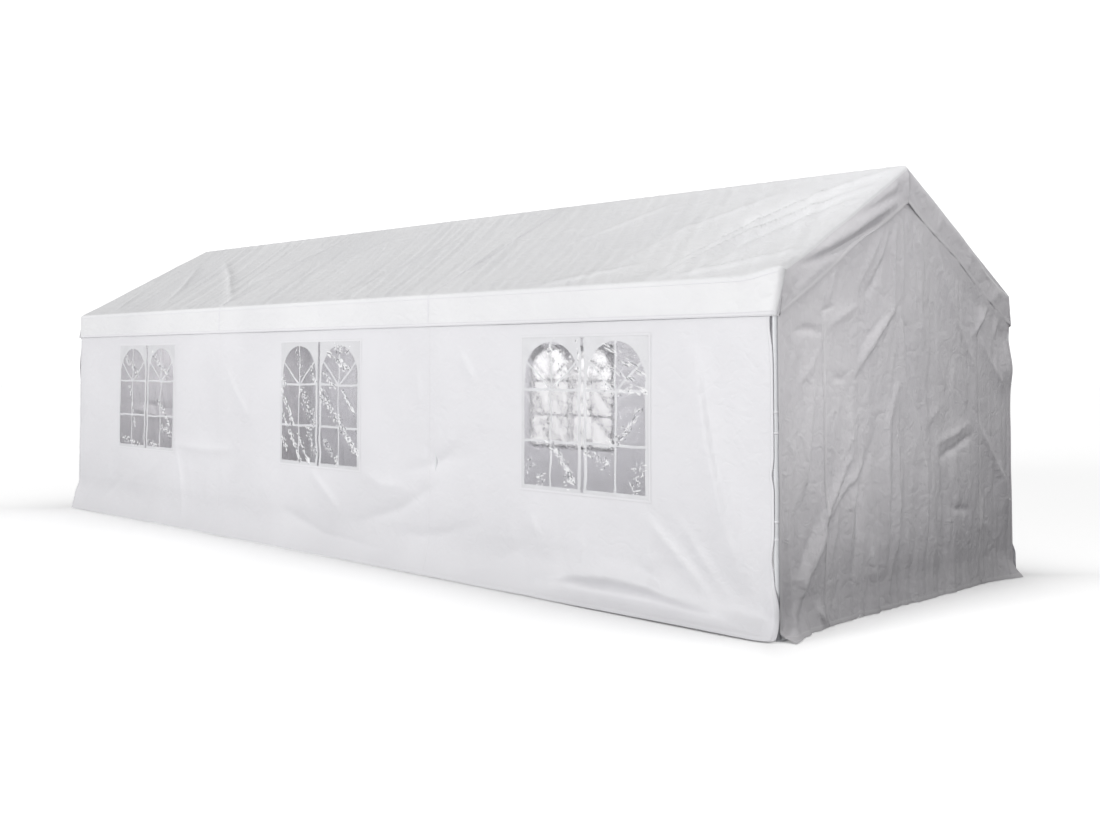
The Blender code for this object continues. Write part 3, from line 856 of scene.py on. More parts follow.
def side_wall_place(side):
    def place(x, z, lift=0.0):
        out = CLOTH_Y + side_wall_height(x, z, side) + lift
        edge = ease(np.abs(x), WALL_X - 0.15, WALL_X)
        corner = np.clip(np.abs(x) - (WALL_X - 0.07), 0, 0.07)
        rise = 0.16 * (0.07 - np.sqrt(0.07**2 - corner**2)) * np.clip(1 - z / 0.3, 0, 1)
        gap = 0.008 + 0.003 * soft_noise(x + 5 * side, 0 * x, 0.4, 1.0, 46)
        rise = rise + gap * np.clip(1 - z / 0.2, 0, 1)
        tip = 0.037 * ease(z, 0.32, 0.15) + 0.006 * ease(z, 0.10, 0.0)
        wrap = np.clip((np.abs(x) - WALL_X + 0.022) / 0.022, 0, 1) ** 2
        out = out - 0.014 * wrap * ease(z, 0.36, 0.2)
        moved = x - np.sign(x) * edge * (post_slit(z, SIDE_SLITS) - tip)
        return np.stack([moved, side * out, z + rise], axis=-1)

    return place


def film_place(side, bay):
    """Surface of the film: it carries the wall's shape on and adds its own crinkles, none at its edges."""
    low, high = WINDOW_SPANS[bay]
    wall = side_wall_place(side)

    def place(x, z, lift=0.0):
        from_edge = np.minimum(np.minimum(x - low, high - x), np.minimum(z - WINDOW_LOW, WINDOW_HIGH - z))
        inside = ease(from_edge, 0.0, 0.10)
        seed = 60 + 7 * bay + (3 if side > 0 else 0)
        slant = x + 0.45 * z
        crinkle = 0.0050 * crumple(slant, z, 0.20, seed, stretch=1.8, tilt=(-0.5, 0.5))
        crinkle = crinkle + 0.0024 * crumple(x - 0.3 * z, z, 0.09, seed + 1, stretch=1.5)
        sway = 0.011 * soft_noise(x, z, 0.24, 0.13, seed + 2) * inside
        lift_z = 0.005 * soft_noise(x, z, 0.12, 0.20, seed + 4) * inside
        points = wall(x + sway, z + lift_z, 0.0)
        points[..., 1] += side * (inside * crinkle + lift)
        return points

    return place


def arched_light(place, low, high):
    """Printed bars of one arched light between two heights of x: frame, spandrels, crossbars and rays."""
    middle, half = (low + high) / 2, (high - low) / 2
    frame_bar, bar = 0.026, 0.018
    arch_rise = half - frame_bar
    spring_z = WINDOW_HIGH - 0.034 - arch_rise
    cross_z = (WINDOW_HIGH - 0.355, WINDOW_HIGH - 0.70)
    arch_half = half - frame_bar
    lift = 0.0012
    bottom, top = WINDOW_LOW + 0.004, WINDOW_HIGH - 0.004
    parts = []
    for x in (low + frame_bar / 2, high - frame_bar / 2):
        parts.append(ribbon_parts(place, [(x, bottom), (x, spring_z)], frame_bar, lift))
    parts.append(ribbon_parts(place, [(low, bottom + 0.012), (high, bottom + 0.012)], 0.026, lift))
    for z in cross_z:
        parts.append(ribbon_parts(place, [(low + frame_bar, z), (high - frame_bar, z)], bar, lift))
    for end_z in (cross_z[0] - bar / 2,):
        parts.append(ribbon_parts(place, [(middle, bottom + 0.025), (middle, end_z)], bar * 0.9, lift))
    hub_z = cross_z[0] + bar / 2
    ray_angle = math.radians(27)
    ray_top = spring_z + arch_rise * math.sin(ray_angle)
    reach = arch_half * math.cos(ray_angle)
    parts.append(ribbon_parts(place, [(middle, hub_z), (middle, spring_z + arch_rise)], bar * 0.85, lift))
    for way in (-1, 1):
        parts.append(ribbon_parts(place, [(middle + way * 0.015, hub_z), (middle + way * reach, ray_top)], bar * 0.85, lift))
    angles = np.linspace(0, math.pi, 41)
    arch_x, arch_z = middle + arch_half * np.cos(angles), spring_z + arch_rise * np.sin(angles)
    steps = 6
    share = np.linspace(0, 1, steps)[:, None]
    slant = np.maximum(np.abs(np.cos(angles)), 1e-6)
    out = half / slant
    up = (top - spring_z) / np.maximum(np.sin(angles), 1e-6)
    reach_out = np.minimum(out, up)
    edge_x = np.clip(middle + reach_out * np.cos(angles), low, high)
    edge_z = np.clip(spring_z + reach_out * np.sin(angles), spring_z, top)
    rows = np.stack([arch_x * (1 - share) + edge_x * share, arch_z * (1 - share) + edge_z * share], axis=-1)
    spandrel = rows
    points = place(spandrel[..., 0], spandrel[..., 1], lift)
    parts.append((points.reshape(-1, 3), grid_quads(steps, len(angles)), spandrel.reshape(-1, 2)))
    return parts


# Creases of the film, marked with painted glints and painted shade, per window: start and end of each band as shares
# of the window's width and height, the band's spread and its strokes' count, length and turn from the band.
CREASE_BANDS = {
    3: [
        (0.22, 0.93, 0.38, 0.80, 0.030, 90, 0.020, 1.2),
        (0.62, 0.90, 0.72, 0.68, 0.045, 130, 0.014, 1.4),
        (0.66, 0.94, 0.98, 0.76, 0.012, 34, 0.050, 0.2),
        (0.72, 0.82, 0.99, 0.66, 0.014, 26, 0.045, 0.3),
        (0.78, 0.655, 0.99, 0.640, 0.012, 46, 0.022, 0.7),
        (0.95, 0.56, 0.80, 0.36, 0.014, 44, 0.032, 0.4),
        (0.84, 0.42, 0.70, 0.30, 0.030, 70, 0.014, 1.2),
        (0.51, 0.27, 0.72, 0.20, 0.020, 80, 0.018, 1.0),
        (0.21, 0.32, 0.40, 0.12, 0.012, 60, 0.034, 0.7),
        (0.26, 0.31, 0.44, 0.06, 0.012, 60, 0.034, 0.7),
        (0.05, 0.18, 0.20, 0.06, 0.030, 60, 0.016, 1.3),
        (0.44, 0.12, 0.36, 0.04, 0.025, 40, 0.020, 1.0),
        (0.97, 0.22, 0.88, 0.04, 0.030, 50, 0.022, 1.0),
        (0.33, 0.80, 0.30, 0.68, 0.012, 24, 0.022, 0.9),
        (0.06, 0.62, 0.10, 0.42, 0.010, 16, 0.028, 0.3),
        (0.46, 0.98, 0.47, 0.72, 0.008, 30, 0.018, 0.8),
    ],
    2: [
        (0.01, 0.62, 0.18, 0.32, 0.014, 70, 0.030, 0.6),
        (0.00, 0.46, 0.10, 0.30, 0.010, 30, 0.030, 0.4),
        (0.12, 0.28, 0.28, 0.02, 0.012, 60, 0.034, 0.5),
        (0.22, 0.26, 0.40, 0.00, 0.014, 60, 0.034, 0.5),
        (0.26, 0.62, 0.46, 0.32, 0.034, 130, 0.014, 1.3),
        (0.36, 0.32, 0.46, 0.10, 0.022, 50, 0.018, 1.1),
        (0.39, 0.82, 0.46, 0.66, 0.016, 40, 0.018, 1.0),
        (0.52, 0.60, 0.84, 0.28, 0.026, 170, 0.020, 0.9),
        (0.83, 0.27, 0.99, 0.12, 0.016, 70, 0.026, 0.6),
        (0.80, 0.62, 0.95, 0.42, 0.010, 40, 0.036, 0.3),
        (0.60, 0.90, 0.88, 0.78, 0.016, 70, 0.034, 0.4),
        (0.68, 0.95, 0.88, 0.91, 0.022, 60, 0.014, 1.3),
        (0.55, 0.76, 0.72, 0.62, 0.012, 40, 0.026, 0.6),
        (0.57, 0.22, 0.68, 0.10, 0.018, 50, 0.018, 1.0),
        (0.71, 0.10, 0.74, 0.02, 0.014, 30, 0.018, 1.0),
        (0.03, 0.22, 0.09, 0.10, 0.014, 40, 0.018, 1.0),
        (0.02, 0.72, 0.08, 0.64, 0.014, 24, 0.018, 1.0),
        (0.18, 0.96, 0.30, 0.70, 0.020, 34, 0.014, 1.2),
    ],
    1: [
        (0.10, 0.90, 0.36, 0.70, 0.020, 50, 0.024, 1.0),
        (0.20, 0.60, 0.30, 0.20, 0.012, 36, 0.028, 0.6),
        (0.58, 0.92, 0.88, 0.70, 0.018, 50, 0.024, 0.9),
        (0.70, 0.50, 0.92, 0.24, 0.014, 50, 0.026, 0.7),
        (0.76, 0.24, 0.96, 0.14, 0.020, 50, 0.018, 1.1),
        (0.06, 0.10, 0.40, 0.03, 0.014, 50, 0.018, 1.0),
        (0.54, 0.08, 0.74, 0.03, 0.014, 40, 0.018, 1.0),
    ],
}


def add_creases(name, place, low, high, bay, side):
    """Short strokes along the creases of the film: most are white painted glints and some are grey painted shade."""
    rng = np.random.RandomState(900 + 10 * bay + (5 if side > 0 else 0))
    size = np.array([high - low, WINDOW_HIGH - WINDOW_LOW])
    origin = np.array([low, WINDOW_LOW])
    u, v = [], []
    bay_kind = bay + 1 if side < 0 else 3 - bay
    broad = {1: 1.6, 2: 1.25, 3: 0.9}[bay_kind]
    for x0, z0, x1, z1, spread, count, length, turn in CREASE_BANDS[bay_kind]:
        start, end = origin + size * (x0, z0), origin + size * (x1, z1)
        run = (end - start) / np.hypot(*(end - start))
        cross = np.array([-run[1], run[0]])
        count = round((0.75 if bay_kind == 3 else 1.0) * count)
        share = rng.uniform(0, 1, count)
        centre = start + (end - start) * share[:, None] + cross * rng.normal(0, spread, count)[:, None]
        angle = math.atan2(run[1], run[0]) + turn * rng.choice([-1, 1], count) * rng.uniform(0.3, 1, count)
        half = length * rng.uniform(0.25, 0.75, count)
        width = broad * rng.uniform(0.0020, 0.0050, count)
        along = np.stack([np.cos(angle), np.sin(angle)], axis=1)
        across = np.stack([-along[:, 1], along[:, 0]], axis=1)
        bow = rng.uniform(-0.2, 0.2, count)
        for t, thin in ((-1, 0.2), (-0.4, 1.0), (0.4, 1.0), (1, 0.2)):
            point = centre + along * (t * half)[:, None] + across * (bow * half * (1 - t * t))[:, None]
            for edge in (-1, 1):
                both = point + across * (edge * width * thin)[:, None]
                u.append(both[:, 0])
                v.append(both[:, 1])
    sets = [np.concatenate(u[i::8]) for i in range(8)], [np.concatenate(v[i::8]) for i in range(8)]
    uu, vv = np.stack(sets[0], axis=1), np.stack(sets[1], axis=1)
    uu = np.clip(uu, low + 0.006, high - 0.006)
    vv = np.clip(vv, WINDOW_LOW + 0.006, WINDOW_HIGH - 0.006)
    points = place(uu, vv, 0.0015).reshape(-1, 3)
    first = np.arange(len(uu))[:, None, None] * 8
    corners = np.array([[0, 2, 3, 1], [2, 4, 5, 3], [4, 6, 7, 5]])[None]
    quads = (first + corners).reshape(-1, 4)
    flats = np.stack([uu.ravel(), vv.ravel()], axis=1)
    marks = new_object(name, mesh_of(name, points, quads, flats), PAINTED_CREASE_GLINTS)
    marks.data.materials.append(CREASE_GREY)
    # About a quarter of the strokes take the grey painted shade; the rest are white painted glints.
    shaded = np.repeat(rng.uniform(0, 1, len(uu)) < 0.26, 3)
    marks.data.polygons.foreach_set("material_index", shaded.astype(np.int32))
    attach(marks, "root")
    return marks


def add_window(side_name, side, bay):
    low, high = WINDOW_SPANS[bay]
    place = film_place(side, bay)
    us = np.linspace(low, high, round((high - low) / FILM_STEP) + 1)
    vs = np.linspace(WINDOW_LOW, WINDOW_HIGH, round((WINDOW_HIGH - WINDOW_LOW) / FILM_STEP) + 1)
    name = f"window_{side_name}_{bay + 1}"
    film = sheet_object(f"{name}_film", us, vs, place, FILM, flip=side > 0)
    thick = film.modifiers.new("thickness", "SOLIDIFY")
    thick.thickness = 0.0008
    thick.offset = 0
    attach(film, "root")
    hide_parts(name)
    gap = 0.013
    middle = (low + high) / 2
    parts = arched_light(place, low + 0.004, middle - gap) + arched_light(place, middle + gap, high - 0.004)
    print_bars = ribbons(f"{name}_printed_bars", parts, PRINT)
    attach(print_bars, "root")
    wall = side_wall_place(side)
    rim = 0.024
    bands = []
    for z in (WINDOW_LOW - rim / 2 + 0.006, WINDOW_HIGH + rim / 2 - 0.006):
        bands.append(ribbon_parts(wall, [(low - rim + 0.006, z), (high + rim - 0.006, z)], rim, 0.0006, crown=0.0012))
    for x in (low - rim / 2 + 0.006, high + rim / 2 - 0.006):
        bands.append(ribbon_parts(wall, [(x, WINDOW_LOW), (x, WINDOW_HIGH)], rim, 0.0009, crown=0.0012))
    band = ribbons(f"{name}_border", bands, HEM_CLOTH)
    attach(band, "root")
    marks = add_creases(f"{name}_creases", place, low, high, bay, side)
    return band


def add_side_wall(side_name, side):
    place = side_wall_place(side)
    edge = [WALL_X - 0.024, WALL_X - 0.016, WALL_X - 0.008, WALL_X]
    breaks = [*(-x for x in edge[::-1]), *(x for span in WINDOW_SPANS for x in span), *edge]
    us = stations(breaks, CLOTH_STEP)
    vs = stations([0.0, 0.03, 0.3, WINDOW_LOW, WINDOW_HIGH, WALL_TOP], CLOTH_STEP)
    wall = sheet_object(f"wall_cloth_{side_name}", us, vs, place, WALL_CLOTH, left_out=in_windows, flip=side > 0)
    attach(wall, "root")
    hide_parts(f"side_wall_{side_name}")
    borders = [add_window(side_name, side, bay) for bay in range(BAYS)]
    bands = [
        ribbon_parts(place, [(-WALL_X + 0.02, 0.0145), (WALL_X - 0.02, 0.0145)], 0.029, 0.0008, crown=0.0018),
    ]
    for x in (-WALL_X + 0.011, WALL_X - 0.011):
        bands.append(ribbon_parts(place, [(x, 0.03), (x, WALL_TOP)], 0.022, 0.0006, crown=0.0010))
    for x in SEAM_XS:
        bands.append(ribbon_parts(place, [(x, 0.02), (x, WALL_TOP)], 0.018, 0.0003, crown=0.0006))
    hems = ribbons(f"wall_hems_{side_name}", bands, HEM_CLOTH)
    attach(hems, "root")


# End walls and their doors.

# Folds of the near end wall: points (y, z), height of the fold and width.
END_FOLDS = [
    ([(-0.12, 2.57), (-0.17, 2.35), (-0.20, 1.89)], 0.016, 0.018, -0.4),
    ([(-0.06, 2.57), (-0.04, 2.29), (-0.06, 1.93)], 0.01, 0.014, 0.3),
    ([(0.00, 2.56), (0.09, 2.26), (0.11, 1.90)], 0.012, 0.016, 0.3),
    ([(0.05, 2.54), (0.21, 2.25), (0.28, 1.94)], 0.009, 0.018, 0.3),
    ([(-0.19, 2.50), (-0.31, 2.28), (-0.45, 2.07)], 0.009, 0.02, 0.3),
    ([(-0.27, 2.46), (-0.46, 2.21), (-0.63, 2.01)], 0.008, 0.022, 0.3),
    ([(-0.30, 2.23), (-0.41, 2.10), (-0.51, 1.99)], -0.012, 0.026, 0.0),
    ([(-0.19, 1.90), (-0.42, 1.73), (-0.62, 1.52)], 0.026, 0.042, 0.55),
    ([(-0.29, 1.89), (-0.51, 1.73), (-0.64, 1.57)], -0.01, 0.024, 0.0),
    ([(-0.08, 1.90), (-0.06, 1.65), (-0.03, 1.39)], 0.018, 0.024, 0.4),
    ([(-0.03, 1.83), (0.06, 1.49), (0.13, 1.21)], -0.014, 0.024, 0.0),
    ([(-0.14, 1.41), (-0.28, 1.18), (-0.31, 0.72), (-0.32, 0.24)], 0.024, 0.04, -0.35),
    ([(-0.12, 1.41), (-0.13, 1.00), (-0.15, 0.61), (-0.25, 0.11)], 0.013, 0.022, 0.5),
    ([(0.00, 1.41), (0.11, 1.17), (0.19, 0.88), (0.19, 0.38)], 0.026, 0.046, 0.75),
    ([(-0.43, 1.11), (-0.55, 0.87), (-0.60, 0.65), (-0.67, 0.28)], -0.016, 0.036, 0.0),
    ([(-0.56, 0.96), (-0.71, 0.71), (-0.74, 0.38)], 0.012, 0.03, 0.3),
    ([(-0.48, 0.41), (-0.43, 0.18), (-0.43, -0.02)], 0.015, 0.024, -0.3),
    ([(-1.10, 1.43), (-1.17, 1.09), (-1.24, 0.77)], 0.018, 0.034, 0.7),
    ([(-1.02, 1.41), (-0.94, 1.13), (-0.93, 0.88)], 0.008, 0.026, 0.4),
    ([(-0.71, 0.99), (-0.87, 0.80), (-1.02, 0.63)], 0.018, 0.022, 0.65),
    ([(-0.55, 0.93), (-0.74, 0.83), (-0.87, 0.71), (-0.99, 0.62)], 0.01, 0.018, 0.5),
    ([(-1.01, 0.62), (-1.12, 0.46), (-1.25, 0.28), (-1.36, 0.10)], 0.03, 0.042, 0.5),
    ([(-1.08, 0.69), (-1.19, 0.50), (-1.30, 0.35)], -0.012, 0.026, 0.0),
    ([(-1.11, 0.12), (-1.03, 0.01)], 0.012, 0.018, -0.5),
    ([(-0.86, 2.18), (-0.94, 1.94)], 0.014, 0.018, 0.6),
    ([(-0.98, 2.07), (-1.01, 1.89)], 0.012, 0.018, 0.4),
    ([(-1.29, 1.75), (-1.16, 1.77), (-1.04, 1.75)], -0.016, 0.018, 0.0),
    ([(-0.63, 1.92), (-0.81, 1.85), (-0.95, 1.79)], 0.012, 0.034, 0.0),
    ([(-1.03, 1.87), (-0.88, 1.91)], -0.009, 0.014, 0.0),
    ([(-1.07, 1.61), (-1.17, 1.52), (-1.27, 1.43)], 0.01, 0.014, 0.4),
    ([(-1.10, 1.55), (-1.19, 1.45)], 0.007, 0.012, 0.4),
    ([(-1.25, 1.72), (-1.29, 1.57)], 0.007, 0.014, 0.3),
    ([(-0.75, 1.46), (-0.89, 1.48)], -0.01, 0.012, 0.0),
    ([(-0.73, 1.31), (-0.68, 1.12), (-0.77, 1.00)], 0.009, 0.022, 0.3),
    ([(0.40, 2.41), (0.53, 2.12), (0.68, 1.85), (0.93, 1.57)], 0.022, 0.034, 0.75),
    ([(0.63, 1.83), (0.73, 1.57), (0.82, 1.27)], 0.014, 0.026, 0.3),
    ([(0.62, 1.57), (0.64, 1.32)], 0.009, 0.022, 0.3),
    ([(1.16, 1.96), (1.05, 1.86), (0.96, 1.77)], 0.02, 0.024, 0.5),
    ([(1.32, 1.89), (1.26, 1.75)], 0.01, 0.022, 0.3),
    ([(1.03, 1.76), (1.19, 1.57), (1.38, 1.39)], 0.014, 0.026, 0.6),
    ([(0.43, 0.92), (0.65, 0.98), (0.89, 1.06)], -0.014, 0.02, 0.0),
    ([(0.37, 1.02), (0.61, 1.07), (0.84, 1.14)], 0.01, 0.024, 0.0),
    ([(0.99, 1.13), (1.16, 0.94), (1.34, 0.72), (1.46, 0.32)], 0.018, 0.03, 0.3),
    ([(1.05, 0.59), (1.00, 0.38)], 0.009, 0.018, 0.3),
    ([(0.61, 0.73), (0.59, 0.57), (0.84, 0.54)], -0.009, 0.018, 0.0),
    ([(0.20, 1.86), (0.28, 1.66), (0.25, 1.45)], 0.009, 0.026, 0.3),
    ([(0.39, 1.76), (0.42, 1.57), (0.53, 1.41)], 0.008, 0.022, 0.3),
    ([(0.17, 1.41), (0.26, 1.16), (0.44, 1.28)], 0.008, 0.026, 0.0),
    ([(0.42, 0.64), (0.43, 0.42)], 0.007, 0.014, 0.3),
    ([(0.55, 0.59), (0.53, 0.34)], 0.007, 0.014, 0.3),
    ([(-0.02, 0.46), (0.03, 0.26)], 0.008, 0.018, 0.3),
    ([(-0.84, 0.69), (-0.91, 0.44)], 0.008, 0.018, 0.3),
    ([(0.33, 0.41), (0.41, 0.17)], 0.009, 0.024, 0.3),
    ([(0.75, 0.53), (0.76, 0.26)], 0.007, 0.016, 0.3),
]

def end_top(y):
    """Top edge of an end wall, under the roof cover."""
    return RIDGE_Z - SLOPE * np.abs(y) - 0.02


def end_foot(y, z, end):
    """How far the lowest strip of an end wall kicks out: most at the two corners, at the very foot."""
    at_front = np.clip(-y - 1.0, 0, None) / 0.5
    at_back = np.exp(-(((y - END_EDGE_Y) / 0.22) ** 2))
    ripple = soft_noise(y, 0 * y, 0.35, 1.0, 51)
    at_edge = np.where(y < 0, 0.035, 0.11)
    reach = at_edge + (0.20 - at_edge) * ease(END_EDGE_Y - np.abs(y), 0.0, 0.14)
    kick = 0.090 * at_front + (0.045 if end > 0 else 0.110) * at_back + 0.026 + 0.006 * ripple
    tuck = -0.020 * ease(z, 0.5, 0.0)
    return tuck * ease(END_EDGE_Y - np.abs(y), 0.0, 0.3) + kick * np.clip(1 - z / reach, 0, 1) ** 1.4


def end_wall_height(y, z, end):
    """How far an end wall stands out from its plane."""
    shifted = y * end + 4 * end
    hanging = crumple(shifted, z, 0.15, 52, stretch=4.5, tilt=(-0.45, 0.45))
    broad = crumple(shifted, z, 0.34, 53, stretch=2.6, tilt=(-0.8, 0.8))
    small = crumple(shifted, z, 0.070, 54, stretch=2.8, tilt=(-0.9, 0.9))
    folds = all_folds(y * end, z, END_FOLDS)
    bulge = 0.008 * soft_noise(shifted, z, 0.8, 0.9, 55)
    zips = sum(np.exp(-np.abs(y - place) / 0.05) for place in (-DOOR_Y, DOOR_Y)) * (z < DOOR_TOP + 0.05)
    narrow = crumple(shifted, z, 0.055, 56, stretch=6.0, tilt=(-0.3, 0.3))
    high = ease(z, 1.2, 2.2)
    low = ease(z, 1.3, 0.6)
    creases = (0.0112 + 0.0070 * low) * hanging + (0.0095 + 0.0035 * low) * broad + (0.0040 + 0.0020 * low) * small
    creases = creases + (0.0034 + 0.0030 * high + 0.0034 * low) * narrow
    height = bulge + creases * (1 - 0.45 * zips) + (1.40 + 0.45 * low) * folds
    under_valance = ease(z, gable_hem_z(y) + 0.02, gable_hem_z(y) - 0.14)
    at_posts = ease(END_EDGE_Y - np.abs(y), 0.0, 0.10)
    billow = 0.022 * np.exp(-(((z - 1.52) / 0.12) ** 2)) * ease(y * end, 1.15, 1.42)
    billow = billow - 0.008 * np.exp(-(((z - 1.76) / 0.07) ** 2)) * ease(y * end, 1.15, 1.42)
    channel = -0.013 * np.exp(-(((np.abs(y) - END_EDGE_Y + 0.05) / 0.022) ** 2)) * ease(z, 1.45, 0.95) * ease(z, 0.05, 0.2)
    settled = (height - 0.010) * under_valance * at_posts + billow * under_valance
    return settled + channel + end_foot(y * end, z, end)


def end_wall_place(end):
    def place(y, z, lift=0.0):
        out = CLOTH_X - 0.002 + end_wall_height(y, z, end) + lift
        edge = ease(np.abs(y), END_EDGE_Y - 0.15, END_EDGE_Y)
        moved = y - np.sign(y) * edge * post_slit(z, END_SLITS)
        lifted = 0.005 + 0.022 * np.exp(-(((y * end + 0.62) / 0.035) ** 2))
        tip = np.sign(y) * 0.014 * ease(np.abs(y), END_EDGE_Y - 0.10, END_EDGE_Y) * np.clip(1 - z / 0.06, 0, 1)
        return np.stack([end * out, moved + tip, z + lifted * np.clip(1 - z / 0.25, 0, 1)], axis=-1)

    return place


def add_zip(name, place, y):
    """Zip along one edge of a door: two tapes and the row of teeth between them."""
    low, high = 0.03, DOOR_TOP
    parts = []
    for way in (-1, 1):
        x = y + way * 0.0085
        parts.append(ribbon_parts(place, [(x, low), (x, high)], 0.013, 0.0012, crown=0.0006, step=0.015))
    teeth = ribbon_parts(place, [(y, low), (y, high)], 0.007, 0.0026, crown=0.0012, step=0.0032)
    rows = teeth[0].reshape(-1, 3, 3)
    rows[::2, :, 0] -= np.sign(rows[0, 0, 0]) * 0.0018
    parts.append(teeth)
    made = ribbons(name, parts, SHADED_END_HEM_CLOTH)
    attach(made, "root")
    return made


def add_end_wall(end_name, end):
    place = end_wall_place(end)
    ys = stations([-END_EDGE_Y, -DOOR_Y, 0.0, DOOR_Y, END_EDGE_Y], GABLE_STEP)
    low_rows = stations([0.0, 0.05, 0.3, DOOR_TOP], GABLE_STEP)
    high_rows = 1 + np.linspace(0, 1, 66)[1:]

    def height_of(y, row):
        return np.where(row <= DOOR_TOP, row, DOOR_TOP + (row - DOOR_TOP) * (end_top(y) - DOOR_TOP))

    rows = np.concatenate([low_rows, DOOR_TOP + (high_rows - 1)])

    def on_rows(y, row, lift=0.0):
        return place(y, height_of(y, row), lift)

    def is_door(y, row):
        return (np.abs(y) < DOOR_Y) & (row < DOOR_TOP)

    def is_wall(y, row):
        return ~is_door(y, row)

    wall = sheet_object(f"end_cloth_{end_name}", ys, rows, on_rows, SHADED_END_CLOTH, left_out=is_door, flip=end < 0)
    door = sheet_object(f"door_cloth_{end_name}", ys, rows, on_rows, SHADED_END_CLOTH, left_out=is_wall, flip=end < 0)
    for side_name, side in SIDES.items():
        add_zip(f"zip_{end_name}_{side_name}", place, side * DOOR_Y)
    bands = [
        ribbon_parts(place, [(-DOOR_Y + 0.01, 0.0145), (DOOR_Y - 0.01, 0.0145)], 0.029, 0.0008, crown=0.0018),
    ]
    door_hem = ribbons(f"door_hem_{end_name}", bands, SHADED_END_HEM_CLOTH)
    bands = []
    for side in SIDES.values():
        edge = side * (END_EDGE_Y - 0.011)
        bands.append(ribbon_parts(place, [(edge, 0.01), (edge, float(end_top(edge)) - 0.02)], 0.022, 0.0006, crown=0.001))
        foot = [(side * (DOOR_Y + 0.01), 0.0145), (side * (END_EDGE_Y - 0.004), 0.0145)]
        bands.append(ribbon_parts(place, foot, 0.029, 0.0008, crown=0.0018))
    wall_hems = ribbons(f"end_hems_{end_name}", bands, SHADED_END_HEM_CLOTH)
    for piece in (wall, door, door_hem, wall_hems):
        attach(piece, "root")
    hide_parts(f"end_wall_{end_name}")
    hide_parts(f"door_{end_name}")


# Straps that tie the walls to the corner posts.


def add_straps():
    """Short loops of tape that hold the walls' edges to the corner posts."""
    radius, tail, half_height = 0.0208, 0.012, 0.006
    around = [(radius * math.cos(a), radius * math.sin(a)) for a in np.radians(np.linspace(-95, 185, 30))]
    loop = np.array([(-tail, -radius - 0.002), *around, (-radius - 0.002, -tail)])
    points, quads, flats, first = [], [], [], 0
    for x_sign in ENDS.values():
        for y_sign in SIDES.values():
            for height in (1.285, 1.166, 0.665, 0.564):
                x = x_sign * (POST_X + loop[:, 0])
                y = y_sign * (abs(POST_Y) + loop[:, 1])
                across = np.linspace(-half_height, half_height, 5)[:, None]
                block = np.stack(np.broadcast_arrays(x[None], y[None], height + across), axis=-1)
                along = np.concatenate([[0], np.cumsum(np.hypot(np.diff(x), np.diff(y)))])
                points.append(block.reshape(-1, 3))
                quads.append(grid_quads(len(across), len(x), first))
                flats.append(np.stack(np.broadcast_arrays(along[None], across), axis=-1).reshape(-1, 2))
                first += len(points[-1])
    mesh = mesh_of("post_straps", np.concatenate(points), np.concatenate(quads), np.concatenate(flats))
    straps = new_object("post_straps", mesh, HEM_CLOTH)
    thick = straps.modifiers.new("thickness", "SOLIDIFY")
    thick.thickness = 0.0014
    thick.offset = 0
    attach(straps, "root")


def finish_frame_parts():
    """Painted tubes and zinc connectors: the frame's own solids with finished surfaces."""
    for name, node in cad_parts.items():
        if node.type != "MESH" or not name.startswith(("leg", "rafter", "ridge", "eave")):
            continue
        material = ZINC if "connector" in name else WHITE_STEEL
        node.data.materials.clear()
        node.data.materials.append(material)


# Stage, lights and camera.

IMAGE_W, IMAGE_H = 1100, 824
CAMERA_PLACE = (8.530, -7.412, 1.570)
CAMERA_YAW, CAMERA_PITCH = 45.45, 2.34
FOCAL_PX = 1233.1
PRINCIPAL_PX = (533.1, 311.8)
SENSOR = 36.0


def add_camera():
    data = bpy.data.cameras.new("camera")
    data.sensor_width = SENSOR
    data.lens = SENSOR * FOCAL_PX / IMAGE_W
    data.shift_x = (IMAGE_W / 2 - PRINCIPAL_PX[0]) / IMAGE_W
    data.shift_y = (PRINCIPAL_PX[1] - IMAGE_H / 2) / IMAGE_W
    camera = bpy.data.objects.new("camera", data)
    camera.location = CAMERA_PLACE
    camera.rotation_euler = (math.radians(90 + CAMERA_PITCH), 0, math.radians(CAMERA_YAW))
    bpy.context.scene.collection.objects.link(camera)
    bpy.context.scene.camera = camera


def seen_directly(tree):
    """1 for rays from the camera or through the film, and 0 for rays that only bring light."""
    path = tree.nodes.new("ShaderNodeLightPath")
    return math_node(tree, "MAXIMUM", path.outputs["Is Camera Ray"], path.outputs["Is Transmission Ray"])


